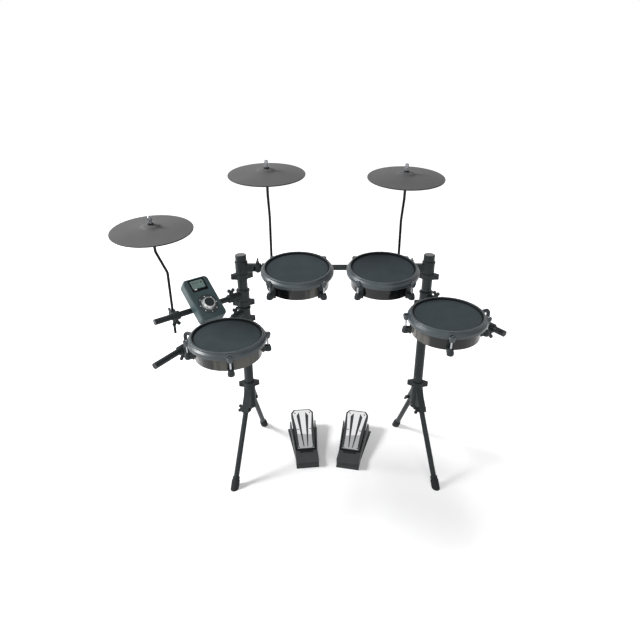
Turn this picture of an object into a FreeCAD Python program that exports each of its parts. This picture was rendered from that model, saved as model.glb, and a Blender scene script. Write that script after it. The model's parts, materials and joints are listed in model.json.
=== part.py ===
"""Electronic drum kit: a two-post rack with four pads, three cymbals, a sound module and two pedals.

Millimetres. X runs to the player's right, Y away from the player, Z up from the floor.
"""
import FreeCAD, Part
import math
import os

os.makedirs("parts", exist_ok=True)
V = FreeCAD.Vector
UP = V(0, 0, 1)
RIGHT = V(1, 0, 0)

# Fits
OVERRUN = 3.0  # how far a cutting shape runs past the face that it opens
SEAT_GAP = 0.1  # round a piece that is clamped or bolted in place
PIN_GAP = 0.08  # round a pin or post that turns or slides
SIDE_GAP = 0.3  # between flat sides that move past each other

# Tubes, bolts and clamps
POST_RADIUS = 18.0
POST_WALL = 2.0
TUBE_RADIUS = 10.2  # arms, crossbar and legs
TUBE_WALL = 1.6
CLAMP_WALL = 5.0
CLAMP_ROUND = 1.5
CLAMP_WEB = 3.0  # between the two holes of a rod clamp
BOLT_RADIUS = 3.5
NUT_RADIUS = 6.5
NUT_HEIGHT = 5.0
WING_HUB_RADIUS = 6.0
WING_HUB_HEIGHT = 8.0
WING_RADIUS = 6.5
WING_THICKNESS = 4.5
WING_REACH = 8.5
WING_LIFT = 12.0

# Leg bases and legs
LEG_HEADINGS = {"left_front": -105, "left_rear": 83, "right_front": -71, "right_rear": 101}
PIVOT_HEIGHT = 262.0
PIVOT_OUT = 22.5  # from the housing to a leg's pivot
LEG_SPLAY = 161.0  # from a leg's pivot out to its sole
FOOT_RADIUS = 15.5
FOOT_NECK_RADIUS = 13.5
FOOT_NECK = 12.0
FOOT_ROUND = 1.5
FOOT_LENGTH = 46.0
FOOT_SOLE = 20.0  # rubber below the end of the leg tube, measured along the leg
HOUSING_WALL = 4.5
HOUSING_HEIGHT = 96.0
HOUSING_DROP = 12.0  # below the pivots
CHANNEL_WALL = 3.2
CHANNEL_RISE = 46.0
CHANNEL_DROP = 14.0
POST_SEAT = 8.0  # from the foot of the housing to the foot of the post
HOUSING_RADIUS = POST_RADIUS + HOUSING_WALL
HOUSING_BOTTOM = PIVOT_HEIGHT - HOUSING_DROP
HOUSING_TOP = HOUSING_BOTTOM + HOUSING_HEIGHT
POST_BOTTOM = HOUSING_BOTTOM + POST_SEAT
PIVOT_REACH = HOUSING_RADIUS + PIVOT_OUT
LEG_REACH = PIVOT_REACH + LEG_SPLAY

# Memory-lock collars, each with two ears
COLLAR_WALL = 5.5
COLLAR_HEIGHT = 18.0
EAR_OUT = 9.5
EAR_RADIUS = 7.0
EAR_FLAT = 4.5  # from the slit's middle to the seat of the screw head
COLLAR_SLIT = 2.0
COLLAR_SCREW_RADIUS = 3.0
COLLAR_SCREW_HEAD = 5.0
COLLAR_RADIUS = POST_RADIUS + COLLAR_WALL
EAR_REACH = COLLAR_RADIUS + EAR_OUT

# Posts, their caps and the clamp at each head
LEFT_POST_X = -249.0
POST_Y = 140.0
POST_TOP = 878.0
CAP_WALL = 1.6
CAP_SKIRT = 17.0
CAP_ROOF = 6.0
CAP_ROUND = 2.0
CAP_GAP = 2.0
TOP_CLAMP_WALL = 3.5
TOP_CLAMP_HEIGHT = 45.0
FLANGE_WIDTH = 1.5
FLANGE_HEIGHT = 6.0
CAP_RADIUS = POST_RADIUS + CAP_WALL
CAP_BOTTOM = POST_TOP - CAP_SKIRT
CAP_TOP = POST_TOP + CAP_ROOF
TOP_CLAMP_RADIUS = POST_RADIUS + TOP_CLAMP_WALL
FLANGE_RADIUS = TOP_CLAMP_RADIUS + FLANGE_WIDTH
TOP_CLAMP_TOP = CAP_BOTTOM - CAP_GAP
TOP_CLAMP_BOTTOM = TOP_CLAMP_TOP - TOP_CLAMP_HEIGHT

# Knuckles between the posts and the crossbar
CROSSBAR_LIFT = 22.0  # above the foot of the top clamps
KNUCKLE_OUT = 36.5
KNUCKLE_RADIUS = 13.0
KNUCKLE_HEIGHT = 26.0
FORK_WALL = 7.0
NECK_INSET = 1.0
SOCKET_OUT = 2.5
SOCKET_LENGTH = 16.0
SOCKET_FLOOR = 4.0
CROSSBAR_HEIGHT = TOP_CLAMP_BOTTOM + CROSSBAR_LIFT
KNUCKLE_REACH = TOP_CLAMP_RADIUS + KNUCKLE_OUT
TONGUE_HEIGHT = KNUCKLE_HEIGHT - 2 * (FORK_WALL + SIDE_GAP)
NECK_WIDTH = 2 * (KNUCKLE_RADIUS - NECK_INSET)
SOCKET_START = KNUCKLE_RADIUS + SOCKET_OUT  # from the knuckle pin to the socket of the crossbar end

# Pads, measured down from the top of the rim and out from the middle
SHELL_RADIUS = 101.5
SHELL_WALL = 5.0
SHELL_FLOOR = 3.0
RIM_OVERHANG = 1.0
RIM_WIDTH = 7.0
RIM_DROP = 5.0
RIM_STEP = 6.0
RIM_ROUND = 2.6
HOOP_FLARE = 7.0
HOOP_SLOPE = 6.0
HOOP_SKIRT = 11.0
HEAD_THICKNESS = 3.0
HEAD_SKIRT = 12.0
HEAD_SKIRT_WALL = 2.6
LUG_COUNT = 4
TENSION_OUT = 2.5
HOOP_EAR_RADIUS = 10.0
HOOP_EAR_FOOT = 7.0
EAR_STEP = 4.0
EAR_SIDE = 6.0
EAR_TAIL = 4.0
EAR_ROUND = 1.6
RECESS_RADIUS = 6.5
RECESS_DEPTH = 6.0
TENSION_ROD_RADIUS = 2.8
BOLT_HEAD_SIDE = 7.0
BOLT_HEAD_HEIGHT = 6.5
ROD_DEPTH = 14.0  # how far a tension rod enters its lug
LUG_RADIUS = 10.5
LUG_NECK_RADIUS = 7.5
LUG_PLATE_WIDTH = 18.0
LUG_PLATE = 5.0
LUG_GAP = 4.0
LUG_NECK = 20.0
LUG_FOOT = 20.0
LUG_SKIRT = 9.0
LUG_TAIL = 6.0  # how far a lug hangs below the shell
LUG_ROUND = 3.0
PAD_BOSS_RADIUS = 5.0
PAD_BOSS_INSET = 28.0
PAD_BOSS_COUNT = 3
PLATE_GAP = 6.5
PLATE_RISE = 34.0  # from the foot of the shell to the sensor plate
PLATE_THICKNESS = 2.0
FOAM_RADIUS = 22.0
SENSOR_RADIUS = 13.5
SENSOR_THICKNESS = 1.2
JACK_RADIUS = 3.25
JACK_DEPTH = 16.0
JACK_BOSS_WALL = 4.75
JACK_ROOF = 6.0
JACK_CIRCLE = 46.0
JACK_TURN = 60.0
BRACKET_WIDTH = 32.0
BRACKET_GAP = 2.0
BRACKET_HALF = 16.0
BRACKET_BACK = 10.0
BRACKET_EAR = 6.0
EYE_RADIUS = 9.0
EYE_GAP = 1.5
EYE_WIDTH = 14.0
PIVOT_BOLT_RADIUS = 4.0
HOLDER_ROD_RADIUS = 6.0
HOLDER_BEND = 14.0
HOLDER_DROP = 26.0
HOLDER_CLAMP_LENGTH = 30.0
HEAD_RADIUS = SHELL_RADIUS + RIM_OVERHANG
RIM_RADIUS = HEAD_RADIUS + RIM_WIDTH
HOOP_RADIUS = RIM_RADIUS + HOOP_FLARE
HOOP_SHOULDER = RIM_DROP + HOOP_SLOPE
HOOP_HEIGHT = HOOP_SHOULDER + HOOP_SKIRT
TENSION_RADIUS = HOOP_RADIUS + TENSION_OUT
HOOP_EAR_TOP = RIM_DROP + EAR_STEP
HOOP_EAR_WAIST = HOOP_EAR_TOP + EAR_SIDE
HOOP_EAR_BOTTOM = HOOP_HEIGHT + EAR_TAIL
LUG_TOP = HOOP_EAR_BOTTOM + LUG_GAP
LUG_FOOT_TOP = LUG_TOP + LUG_NECK
LUG_BOTTOM = LUG_FOOT_TOP + LUG_FOOT
LUG_WAIST = LUG_BOTTOM - LUG_SKIRT
PAD_HEIGHT = LUG_BOTTOM - LUG_TAIL
PLATE_RADIUS = SHELL_RADIUS - SHELL_WALL - PLATE_GAP
PLATE_DEPTH = PAD_HEIGHT - PLATE_RISE
PAD_BOSS_CIRCLE = PLATE_RADIUS - PAD_BOSS_INSET
JACK_BOSS_RADIUS = JACK_RADIUS + JACK_BOSS_WALL
JACK_BOSS_HEIGHT = JACK_DEPTH + JACK_ROOF
BRACKET_FACE = SHELL_RADIUS + BRACKET_BACK
PAD_PIVOT_RADIUS = BRACKET_FACE + EYE_RADIUS + EYE_GAP
BRACKET_TOP = HOOP_HEIGHT + BRACKET_GAP
PAD_PIVOT_DEPTH = BRACKET_TOP + BRACKET_HALF
BRACKET_BOTTOM = PAD_PIVOT_DEPTH + BRACKET_HALF

# The row of clamps along the crossbar, which sets the distance between the posts
ROD_CLAMP_LENGTH = 26.0
MIDDLE_ROD_GAP = 3.5  # bare tube from the left socket to the first cymbal clamp
TOM_1_GAP = 71.0  # bare tube from there to the first tom's clamp
TOM_GAP = 15.5  # between the ears of the two toms
TOM_2_GAP = 48.5
RIGHT_ROD_GAP = 2.5
SOCKET_END = SOCKET_START + SOCKET_LENGTH
MIDDLE_ROD_ALONG = SOCKET_END + MIDDLE_ROD_GAP + ROD_CLAMP_LENGTH / 2
TOM_1_ALONG = MIDDLE_ROD_ALONG + TOM_1_GAP + (ROD_CLAMP_LENGTH + HOLDER_CLAMP_LENGTH) / 2
TOM_2_ALONG = TOM_1_ALONG + 2 * (TENSION_RADIUS + HOOP_EAR_RADIUS) + TOM_GAP
RIGHT_ROD_ALONG = TOM_2_ALONG + TOM_2_GAP + (ROD_CLAMP_LENGTH + HOLDER_CLAMP_LENGTH) / 2
KNUCKLE_SPACING = RIGHT_ROD_ALONG + ROD_CLAMP_LENGTH / 2 + RIGHT_ROD_GAP + SOCKET_END
LEFT_POST = V(LEFT_POST_X, POST_Y, 0)
RIGHT_POST = LEFT_POST + RIGHT * (KNUCKLE_SPACING + 2 * KNUCKLE_REACH)

# Arms that swing on the posts
ARM_CLAMP_WALL = 4.5
ARM_CLAMP_HEIGHT = 42.0
ARM_ROOT = 4.5  # from the sleeve to the inner end of the arm tube
ARM_SOCKET = 37.0
ARM_BOLT = 23.0
PLUG_DEPTH = 12.0
MODULE_ARM_DROP = 43.0  # bare post from the top collar down to the clamp
SNARE_ARM_DROP = 8.0  # bare post from the module arm's collar down to the clamp
FLOOR_ARM_DROP = 50.0
MODULE_ARM_HEADING = 221.5
SNARE_ARM_HEADING = 240.3
FLOOR_ARM_HEADING = -56.6
ARM_CLAMP_RADIUS = POST_RADIUS + ARM_CLAMP_WALL
ARM_START = ARM_CLAMP_RADIUS + ARM_ROOT
ARM_SOCKET_REACH = ARM_START + ARM_SOCKET
ARM_BOLT_REACH = ARM_START + ARM_BOLT
MODULE_ARM_HEIGHT = TOP_CLAMP_BOTTOM - COLLAR_HEIGHT - MODULE_ARM_DROP - ARM_CLAMP_HEIGHT / 2
SNARE_ARM_HEIGHT = MODULE_ARM_HEIGHT - ARM_CLAMP_HEIGHT - COLLAR_HEIGHT - SNARE_ARM_DROP
FLOOR_ARM_HEIGHT = TOP_CLAMP_BOTTOM - COLLAR_HEIGHT - FLOOR_ARM_DROP - ARM_CLAMP_HEIGHT / 2

# Where each pad stands on its tube: how far along, how far the tilt bolt is from the tube and above it
SNARE_ALONG = 327.7
SNARE_HOLDER = 68.4
SNARE_RISE = 64.0
SNARE_TILT = 1.5
SNARE_TURN = 12.0
SNARE_ARM_TAIL = 120.3  # bare tube beyond the pad
TOM_HOLDER = 53.0
TOM_RISE = 28.0
TOM_TILT = 7.5
TOM_TURN = 45.0
FLOOR_ALONG = 297.4
FLOOR_HOLDER = 83.7
FLOOR_RISE = 63.0
FLOOR_TILT = 3.0
FLOOR_TURN = -5.0
FLOOR_ARM_TAIL = 55.6
SNARE_ARM_REACH = SNARE_ALONG + SNARE_ARM_TAIL
FLOOR_ARM_REACH = FLOOR_ALONG + FLOOR_ARM_TAIL
PAD_PLACES = {
    "snare": (SNARE_ALONG, 90, SNARE_HOLDER, SNARE_RISE, SNARE_TILT, SNARE_TURN),
    "tom_1": (TOM_1_ALONG, -90, TOM_HOLDER, TOM_RISE, TOM_TILT, TOM_TURN),
    "tom_2": (TOM_2_ALONG, -90, TOM_HOLDER, TOM_RISE, TOM_TILT, TOM_TURN),
    "floor_tom": (FLOOR_ALONG, -90, FLOOR_HOLDER, FLOOR_RISE, FLOOR_TILT, FLOOR_TURN),
}

# Cymbals and their rods
ROD_RADIUS = 4.5
ROD_BEND = 22.0
ROD_OFFSET = 38.0
ROD_SLANT = 82.0
ROD_TOP = 68.0
ROD_GRIP = 10.0
ROD_TAIL = 71.0
LEFT_ROD_STRAIGHT = 147.4  # from the tube up to the first bend
MIDDLE_ROD_STRAIGHT = 176.4
RIGHT_ROD_STRAIGHT = 165.4
CYMBAL_TILT = 6.0
LEFT_ROD_HEADING = 240.0
REAR_ROD_HEADING = 270.0
CYMBAL_RADIUS = 125.0
CYMBAL_EDGE = 4.0
CYMBAL_LIP = 1.6
CYMBAL_SKIN = 5.0
BOW_HEIGHT = 9.0
BELL_RADIUS = 31.0
BELL_SLOPE = 8.0
BELL_HEIGHT = 5.0
BELL_FILLET = 22.0
HUB_RISE = 3.0
CYMBAL_HOLE = 8.0
ROCK_GAP = 1.15
FELT_RADIUS = 9.0
LOWER_FELT_HEIGHT = 7.0
STOP_RADIUS = 10.5
STOP_HEIGHT = 8.0
UPPER_FELT_HEIGHT = 4.0
NUT_FLANGE_RADIUS = 8.5
NUT_FLANGE_HEIGHT = 3.0
NUT_STEM_RADIUS = 6.3
NUT_STEM_HEIGHT = 17.0
NUT_ROUND = 1.5
BELL_TOP_RADIUS = BELL_RADIUS - BELL_SLOPE
HUB_HEIGHT = BOW_HEIGHT + BELL_HEIGHT + HUB_RISE
ROD_TIP = HUB_HEIGHT + CYMBAL_SKIN + ROCK_GAP + UPPER_FELT_HEIGHT + ROD_GRIP
CYMBALS = {
    "left": (LEFT_ROD_STRAIGHT, LEFT_ROD_HEADING),
    "middle": (MIDDLE_ROD_STRAIGHT, REAR_ROD_HEADING),
    "right": (RIGHT_ROD_STRAIGHT, REAR_ROD_HEADING),
}

# Sound module; its face is tilted to the player and its width lies along the arm
MODULE_TILT = 40.0
MODULE_WIDTH = 94.0
MODULE_LENGTH = 158.0
MODULE_GAP = 65.15  # bare tube from the arm's socket to the module
MODULE_ASIDE = 39.9
MODULE_RISE = 54.0
LEFT_ROD_GAP = 32.85  # bare tube from the module to the cymbal clamp
MODULE_ARM_TAIL = 62.0
FRONT_DEPTH = 20.0
REAR_DEPTH = 18.0
CASE_WALL = 2.5
CASE_CORNER = 14.0
CASE_ROUND = 5.0
WINDOW_WIDTH = 58.0
WINDOW_LENGTH = 48.0
WINDOW_MARGIN = 5.0
WINDOW_THICKNESS = 2.0
WINDOW_LIP = 3.0
BUTTON_RADIUS = 16.5
BUTTON_HEIGHT = 8.0
BUTTON_TRAVEL = 1.0
DIAL_LIP = 2.5
DIAL_SLOPE = 4.5
DIAL_HEIGHT = 13.0
DIAL_FLOOR = 4.0
DIAL_HUB_RADIUS = 6.0
DIAL_HUB_DEPTH = 8.0
DIAL_MARGIN = 16.0
RING_WIDTH = 12.5
RING_DEPTH = 0.8
SHAFT_RADIUS = 3.0
SHAFT_INSET = 1.0
BOARD_GAP = 6.5
BOARD_END_GAP = 9.5
BOARD_THICKNESS = 1.6
BOARD_SINK = 4.0
BOARD_CORNER = 5.0
ENCODER_SIDE = 14.0
ENCODER_HEIGHT = 8.0
CASE_BOSS_RADIUS = 4.0
CASE_BOSS_INSET = 8.0
BRACKET_PLATE_WIDTH = 60.0
BRACKET_PLATE_LENGTH = 44.0
BRACKET_PLATE = 4.0
BRACKET_RING_LENGTH = 30.0
MODULE_ALONG = ARM_SOCKET_REACH + MODULE_GAP + MODULE_WIDTH / 2
LEFT_ROD_REACH = MODULE_ALONG + (MODULE_WIDTH + ROD_CLAMP_LENGTH) / 2 + LEFT_ROD_GAP
MODULE_ARM_REACH = LEFT_ROD_REACH + ROD_CLAMP_LENGTH / 2 + MODULE_ARM_TAIL
DIAL_TOP_RADIUS = BUTTON_RADIUS + DIAL_LIP
DIAL_RADIUS = DIAL_TOP_RADIUS + DIAL_SLOPE
RING_RADIUS = DIAL_RADIUS + RING_WIDTH
DIAL_CENTRE = DIAL_MARGIN + RING_RADIUS - MODULE_LENGTH / 2
WINDOW_CENTRE = MODULE_LENGTH / 2 - WINDOW_MARGIN - WINDOW_LENGTH / 2
SHAFT_TOP = DIAL_FLOOR - SHAFT_INSET
BOARD_WIDTH = MODULE_WIDTH - 2 * (CASE_WALL + BOARD_GAP)
BOARD_LENGTH = MODULE_LENGTH - 2 * (CASE_WALL + BOARD_END_GAP)
BOARD_DEPTH = FRONT_DEPTH + BOARD_SINK

# Pedals, measured from the middle of the heel's front edge
HI_HAT_X = -20.4
HI_HAT_Y = 57.0
HI_HAT_ANGLE = 6.8
KICK_Y = 51.0
KICK_ANGLE = -11.9
PEDAL_GAP = 29.4
HEEL_WIDTH = 92.0
HEEL_DEPTH = 70.0
HEEL_HEIGHT = 37.0
HEEL_ROUND = 8.0
HEEL_LINE_DROP = 16.0
HEEL_LINE_DEPTH = 0.8
FLOOR_PLATE = 6.0
FLOOR_PLATE_SPARE = 10.0
FLOOR_PLATE_MARGIN = 8.0
RAIL_LAP = 10.0
RAIL_RUN = 186.0
RAIL_FLARE = 22.0
RAIL_WALL = 4.5
RAIL_RISE = 31.0
RAIL_CHAMFER = 20.0
HINGE_BACK = 10.0
HINGE_DROP = 10.0
HINGE_RADIUS = 8.0
HINGE_CHEEK = 20.0
HINGE_PIN_RADIUS = 4.0
HINGE_PIN_SPARE = 6.0  # solid heel beyond each end of the pin
BOARD_SLOPE = 13.0
BOARD_SIDE_GAP = 3.5
BOARD_START = 12.0
BOARD_RUN = 216.0
BOARD_CHAMFER = 18.0
BOARD_TOE_INSET = 13.0
BOARD_LIFT = 2.0
FOOTBOARD_THICKNESS = 10.0
FLANGE_START = 30.0
FLANGE_WALL = 4.0
FLANGE_DROP = 14.0
TOE_MARGIN = 6.0
PLATE_SIDE = 7.0
PLATE_CORNER = 10.0
PLATE_WAIST_INSET = 11.0
PLATE_NECK_INSET = 2.5
PLATE_NECK_RUN = 19.0
PLATE_HEEL_FLARE = 5.0
PLATE_START = 3.0
PLATE_WAIST_SHARE = 0.52
TREAD_THICKNESS = 1.6
SLOT_END = 11.0
SLOT_TAPER = 20.0
SLOT_START = 8.0
SLOT_INNER = 12.5
SLOT_SLANT = 2.0
SLOT_WIDTH = 13.5
SLOT_HEEL_INNER = 6.0
SLOT_HEEL_WIDTH = 3.5
SCREW_RADIUS = 3.0
SCREW_HEIGHT = 1.2
SCREW_TOE = 15.0
SCREW_HEEL = 6.0
SCREW_SIDE = 5.0
PRESS_ANGLE = 8.0
BUMPER_BACK = 32.0
BUMPER_RADIUS = 16.0
RAIL_START = HEEL_DEPTH - RAIL_LAP
RAIL_LENGTH = RAIL_START + RAIL_RUN
RAIL_WIDTH = HEEL_WIDTH + RAIL_FLARE
RAIL_TOP = HEEL_HEIGHT + RAIL_RISE
FLOOR_PLATE_LENGTH = RAIL_LENGTH + FLOOR_PLATE_SPARE
FLOOR_PLATE_WIDTH = RAIL_WIDTH + 2 * FLOOR_PLATE_MARGIN
HEEL_LINE_HEIGHT = HEEL_HEIGHT - HEEL_LINE_DROP
HINGE_DEPTH = HEEL_DEPTH - HINGE_BACK
HINGE_HEIGHT = HEEL_HEIGHT - HINGE_DROP
HINGE_WIDTH = HEEL_WIDTH - 2 * HINGE_CHEEK
BOARD_HEEL_WIDTH = HEEL_WIDTH - 2 * (RAIL_WALL + BOARD_SIDE_GAP)
BOARD_WIDE = RAIL_WIDTH - 2 * (RAIL_WALL + BOARD_SIDE_GAP)
BOARD_TOE_WIDTH = BOARD_WIDE - 2 * BOARD_TOE_INSET
BOARD_REACH = BOARD_START + BOARD_RUN
PLATE_TOE = BOARD_REACH - TOE_MARGIN
PLATE_WIDE = PLATE_TOE - BOARD_CHAMFER
PLATE_WIDE_WIDTH = BOARD_WIDE - 2 * PLATE_SIDE
PLATE_TOE_WIDTH = PLATE_WIDE_WIDTH - 2 * PLATE_CORNER
PLATE_WAIST = PLATE_TOE * PLATE_WAIST_SHARE
PLATE_WAIST_WIDTH = PLATE_WIDE_WIDTH - 2 * PLATE_WAIST_INSET
PLATE_NECK_WIDTH = PLATE_WAIST_WIDTH - 2 * PLATE_NECK_INSET
PLATE_HEEL = BOARD_START + PLATE_START
PLATE_NECK = PLATE_HEEL + PLATE_NECK_RUN
PLATE_HEEL_WIDTH = PLATE_NECK_WIDTH + 2 * PLATE_HEEL_FLARE
SLOT_TOE = PLATE_TOE - SLOT_END
SLOT_SHOULDER = SLOT_TOE - SLOT_TAPER
SLOT_HEEL = PLATE_HEEL + SLOT_START
SCREW_ROWS = (
    (PLATE_TOE - SCREW_TOE, PLATE_TOE_WIDTH / 2),
    (PLATE_WAIST, PLATE_WAIST_WIDTH / 2 - SCREW_SIDE),
    (PLATE_HEEL + SCREW_HEEL, PLATE_HEEL_WIDTH / 2 - SCREW_SIDE),
)
BUMPER_DEPTH = RAIL_LENGTH - BUMPER_BACK
KICK_X = HI_HAT_X + FLOOR_PLATE_WIDTH + PEDAL_GAP
PEDAL_PLACES = {
    "hi_hat": (V(HI_HAT_X, HI_HAT_Y, 0), HI_HAT_ANGLE),
    "kick": (V(KICK_X, KICK_Y, 0), KICK_ANGLE),
}


def rounded_path(points, radii, closed):
    """A wire through points, each corner rounded by its own radius; 0 leaves it sharp."""
    starts = []
    ends = []
    arcs = []
    for index, (corner, radius) in enumerate(zip(points, radii)):
        start = end = corner
        arc = []
        if radius > 0:
            come = (corner - points[index - 1]).normalize()
            go = (points[(index + 1) % len(points)] - corner).normalize()
            half = come.getAngle(go) / 2
            start = corner - come * (radius * math.tan(half))
            end = corner + go * (radius * math.tan(half))
            middle = corner + (go - come).normalize() * (radius / math.cos(half) - radius)
            arc = [Part.Arc(start, middle, end).toShape()]
        starts.append(start)
        ends.append(end)
        arcs.append(arc)
    edges = []
    for index, arc in enumerate(arcs):
        edges += arc
        after = (index + 1) % len(points)
        if closed or after > 0:
            edges.append(Part.makeLine(ends[index], starts[after]))
    return Part.Wire(edges)


def outline(points, lift):
    """A closed wire from points of two numbers; a third number rounds that corner."""
    corners = [lift(point[0], point[1]) for point in points]
    radii = [point[2] if len(point) > 2 else 0 for point in points]
    return rounded_path(corners, radii, True)


def turned(profile):
    """A solid of revolution about Z from points of radius, height and corner rounding."""
    face = Part.Face(outline(profile, lambda radius, height: V(radius, 0, height)))
    return face.revolve(V(0, 0, 0), UP, 360)


def bar(radius, start, end):
    """A round bar between two points."""
    run = end - start
    return Part.makeCylinder(radius, run.Length, start, run)


def pipe(radius, wall, start, end):
    """A round tube between two points."""
    ahead = (end - start).normalize() * OVERRUN
    return bar(radius, start, end).cut(bar(radius - wall, start - ahead, end + ahead))


def slab(points, thickness):
    """A flat plate with the given outline, standing up from Z = 0."""
    return Part.Face(outline(points, lambda x, y: V(x, y, 0))).extrude(UP * thickness)


def round_bar(radius, start, end, rounding):
    """A round bar between two points, with its end edges rounded."""
    run = end - start
    solid = turned([(0, 0), (radius, 0, rounding), (radius, run.Length, rounding), (0, run.Length)])
    across = RIGHT if abs(run.x) < run.Length / 2 else UP
    return placed(solid, frame(start, across, run))


def block(width, length, height, centre):
    """A box with its centre at a point."""
    return Part.makeBox(width, length, height, centre - V(width / 2, length / 2, height / 2))


def rounded_block(width, length, bottom, top, corner):
    """A box about the Z axis with rounded upright edges."""
    box = Part.makeBox(width, length, top - bottom, V(-width / 2, -length / 2, bottom))
    upright = [e for e in box.Edges if abs(e.tangentAt(e.FirstParameter).z) > 0.9]
    return box.makeFillet(corner, upright)


def joined(shapes):
    """Several overlapping shapes as one solid."""
    return shapes[0].fuse(shapes[1:]).removeSplitter()


def less(shape, cutters):
    """A solid with several shapes taken out of it."""
    return shape.cut(cutters)


def placed(shape, place):
    """A copy of a shape, moved by a placement."""
    copy = shape.copy()
    copy.Placement = place.multiply(copy.Placement)
    return copy


def frame(origin, x_axis, z_axis):
    """The placement with the given origin, Z axis and nearest X axis."""
    z = V(z_axis).normalize()
    x = (V(x_axis) - z * z.dot(x_axis)).normalize()
    y = z.cross(x)
    rows = (x.x, y.x, z.x, origin.x, x.y, y.y, z.y, origin.y, x.z, y.z, z.z, origin.z, 0, 0, 0, 1)
    return FreeCAD.Placement(FreeCAD.Matrix(*rows))


def turn(origin, angle):
    """The placement that turns about the upright axis and then moves to a point."""
    return FreeCAD.Placement(V(origin), FreeCAD.Rotation(UP, angle))


def heading(angle):
    """The level direction at an angle from X."""
    return V(math.cos(math.radians(angle)), math.sin(math.radians(angle)), 0)


def bent_bar(radius, points, bend):
    """A round bar along a path whose inner corners are bent."""
    radii = [0] + [bend] * (len(points) - 2) + [0]
    ring = Part.Wire(Part.makeCircle(radius, points[0], points[1] - points[0]))
    return rounded_path(points, radii, False).makePipeShell([ring], True, True)


def wing_bolt(shank, radius):
    """A bolt down the -Z axis whose winged head sits on Z = 0."""
    hub = Part.makeCylinder(WING_HUB_RADIUS, WING_HUB_HEIGHT)
    shapes = [hub, Part.makeCylinder(radius, shank, V(0, 0, 0), -UP)]
    for side in (1, -1):
        start = V(side * WING_REACH, -WING_THICKNESS / 2, WING_LIFT)
        shapes.append(Part.makeCylinder(WING_RADIUS, WING_THICKNESS, start, V(0, 1, 0)))
    web = Part.makeBox(2 * WING_REACH, WING_THICKNESS, WING_LIFT, V(-WING_REACH, -WING_THICKNESS / 2, 0))
    shapes.append(web)
    return joined(shapes)


def bolt_at(seat, out, shank, radius, wing_axis):
    """A wing bolt whose head sits on a face that looks outward."""
    return placed(wing_bolt(shank, radius), frame(seat, wing_axis, out))


def export(name, solids):
    """Writes one named node."""
    Part.makeCompound(solids).exportStep("parts/%s.step" % name)


# Leg bases and legs
PIVOT = V(PIVOT_REACH, 0, PIVOT_HEIGHT)
SOLE = V(LEG_REACH, 0, 0)
LEG_RUN = (SOLE - PIVOT).normalize()
LEG_OUT = V(-LEG_RUN.z, 0, LEG_RUN.x)
CHANNEL_INSIDE = TUBE_RADIUS + SIDE_GAP
CHANNEL_HALF = CHANNEL_INSIDE + CHANNEL_WALL


def leg():
    """One leg along X from the post: a tube with a round pivot end, and its rubber foot."""
    end = SOLE - LEG_RUN * FOOT_SOLE
    tube = joined([pipe(TUBE_RADIUS, TUBE_WALL, PIVOT, end), Part.makeSphere(TUBE_RADIUS, PIVOT)])
    across = V(0, CHANNEL_HALF, 0)
    tube = tube.cut(bar(BOLT_RADIUS + PIN_GAP, PIVOT - across, PIVOT + across))
    foot = turned([
        (0, 0),
        (FOOT_NECK_RADIUS, 0, FOOT_ROUND),
        (FOOT_NECK_RADIUS, FOOT_NECK),
        (FOOT_RADIUS, FOOT_NECK + FOOT_ROUND, FOOT_ROUND),
        (FOOT_RADIUS, FOOT_LENGTH + FOOT_SOLE),
        (0, FOOT_LENGTH + FOOT_SOLE),
    ])
    foot = placed(foot, frame(SOLE - LEG_RUN * FOOT_LENGTH, UP, LEG_RUN))
    bore = bar(TUBE_RADIUS + SEAT_GAP, SOLE - LEG_RUN * (FOOT_LENGTH + OVERRUN), end)
    ground = Part.makeBox(LEG_REACH, LEG_REACH, LEG_REACH, V(LEG_REACH / 2, -LEG_REACH / 2, -LEG_REACH))
    return [tube, less(foot, [bore, ground])]


def channel():
    """The hollow arm of a leg base that holds the end of one leg, and the space inside it."""
    outer = PIVOT + LEG_OUT * CHANNEL_HALF
    inner = PIVOT + LEG_OUT * CHANNEL_INSIDE
    outline = [
        V(POST_RADIUS + POST_WALL, 0, HOUSING_TOP - FLANGE_HEIGHT),
        outer - LEG_RUN * CHANNEL_RISE,
        outer + LEG_RUN * CHANNEL_DROP,
        V(PIVOT_REACH, 0, HOUSING_BOTTOM),
        V(POST_RADIUS + POST_WALL, 0, HOUSING_BOTTOM),
    ]
    hollow = [
        inner - LEG_RUN * CHANNEL_INSIDE,
        inner + LEG_RUN * (CHANNEL_DROP + OVERRUN),
        inner + LEG_RUN * (CHANNEL_DROP + OVERRUN) - UP * FOOT_LENGTH,
        V(HOUSING_RADIUS, 0, HOUSING_BOTTOM - FOOT_LENGTH),
        V(HOUSING_RADIUS, 0, PIVOT_HEIGHT + CHANNEL_INSIDE),
    ]
    shapes = []
    for corners, half in ((outline, CHANNEL_HALF), (hollow, CHANNEL_INSIDE)):
        face = Part.Face(Part.makePolygon(corners + corners[:1]))
        face.translate(V(0, -half, 0))
        shapes.append(face.extrude(V(0, 2 * half, 0)))
    return shapes


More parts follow.
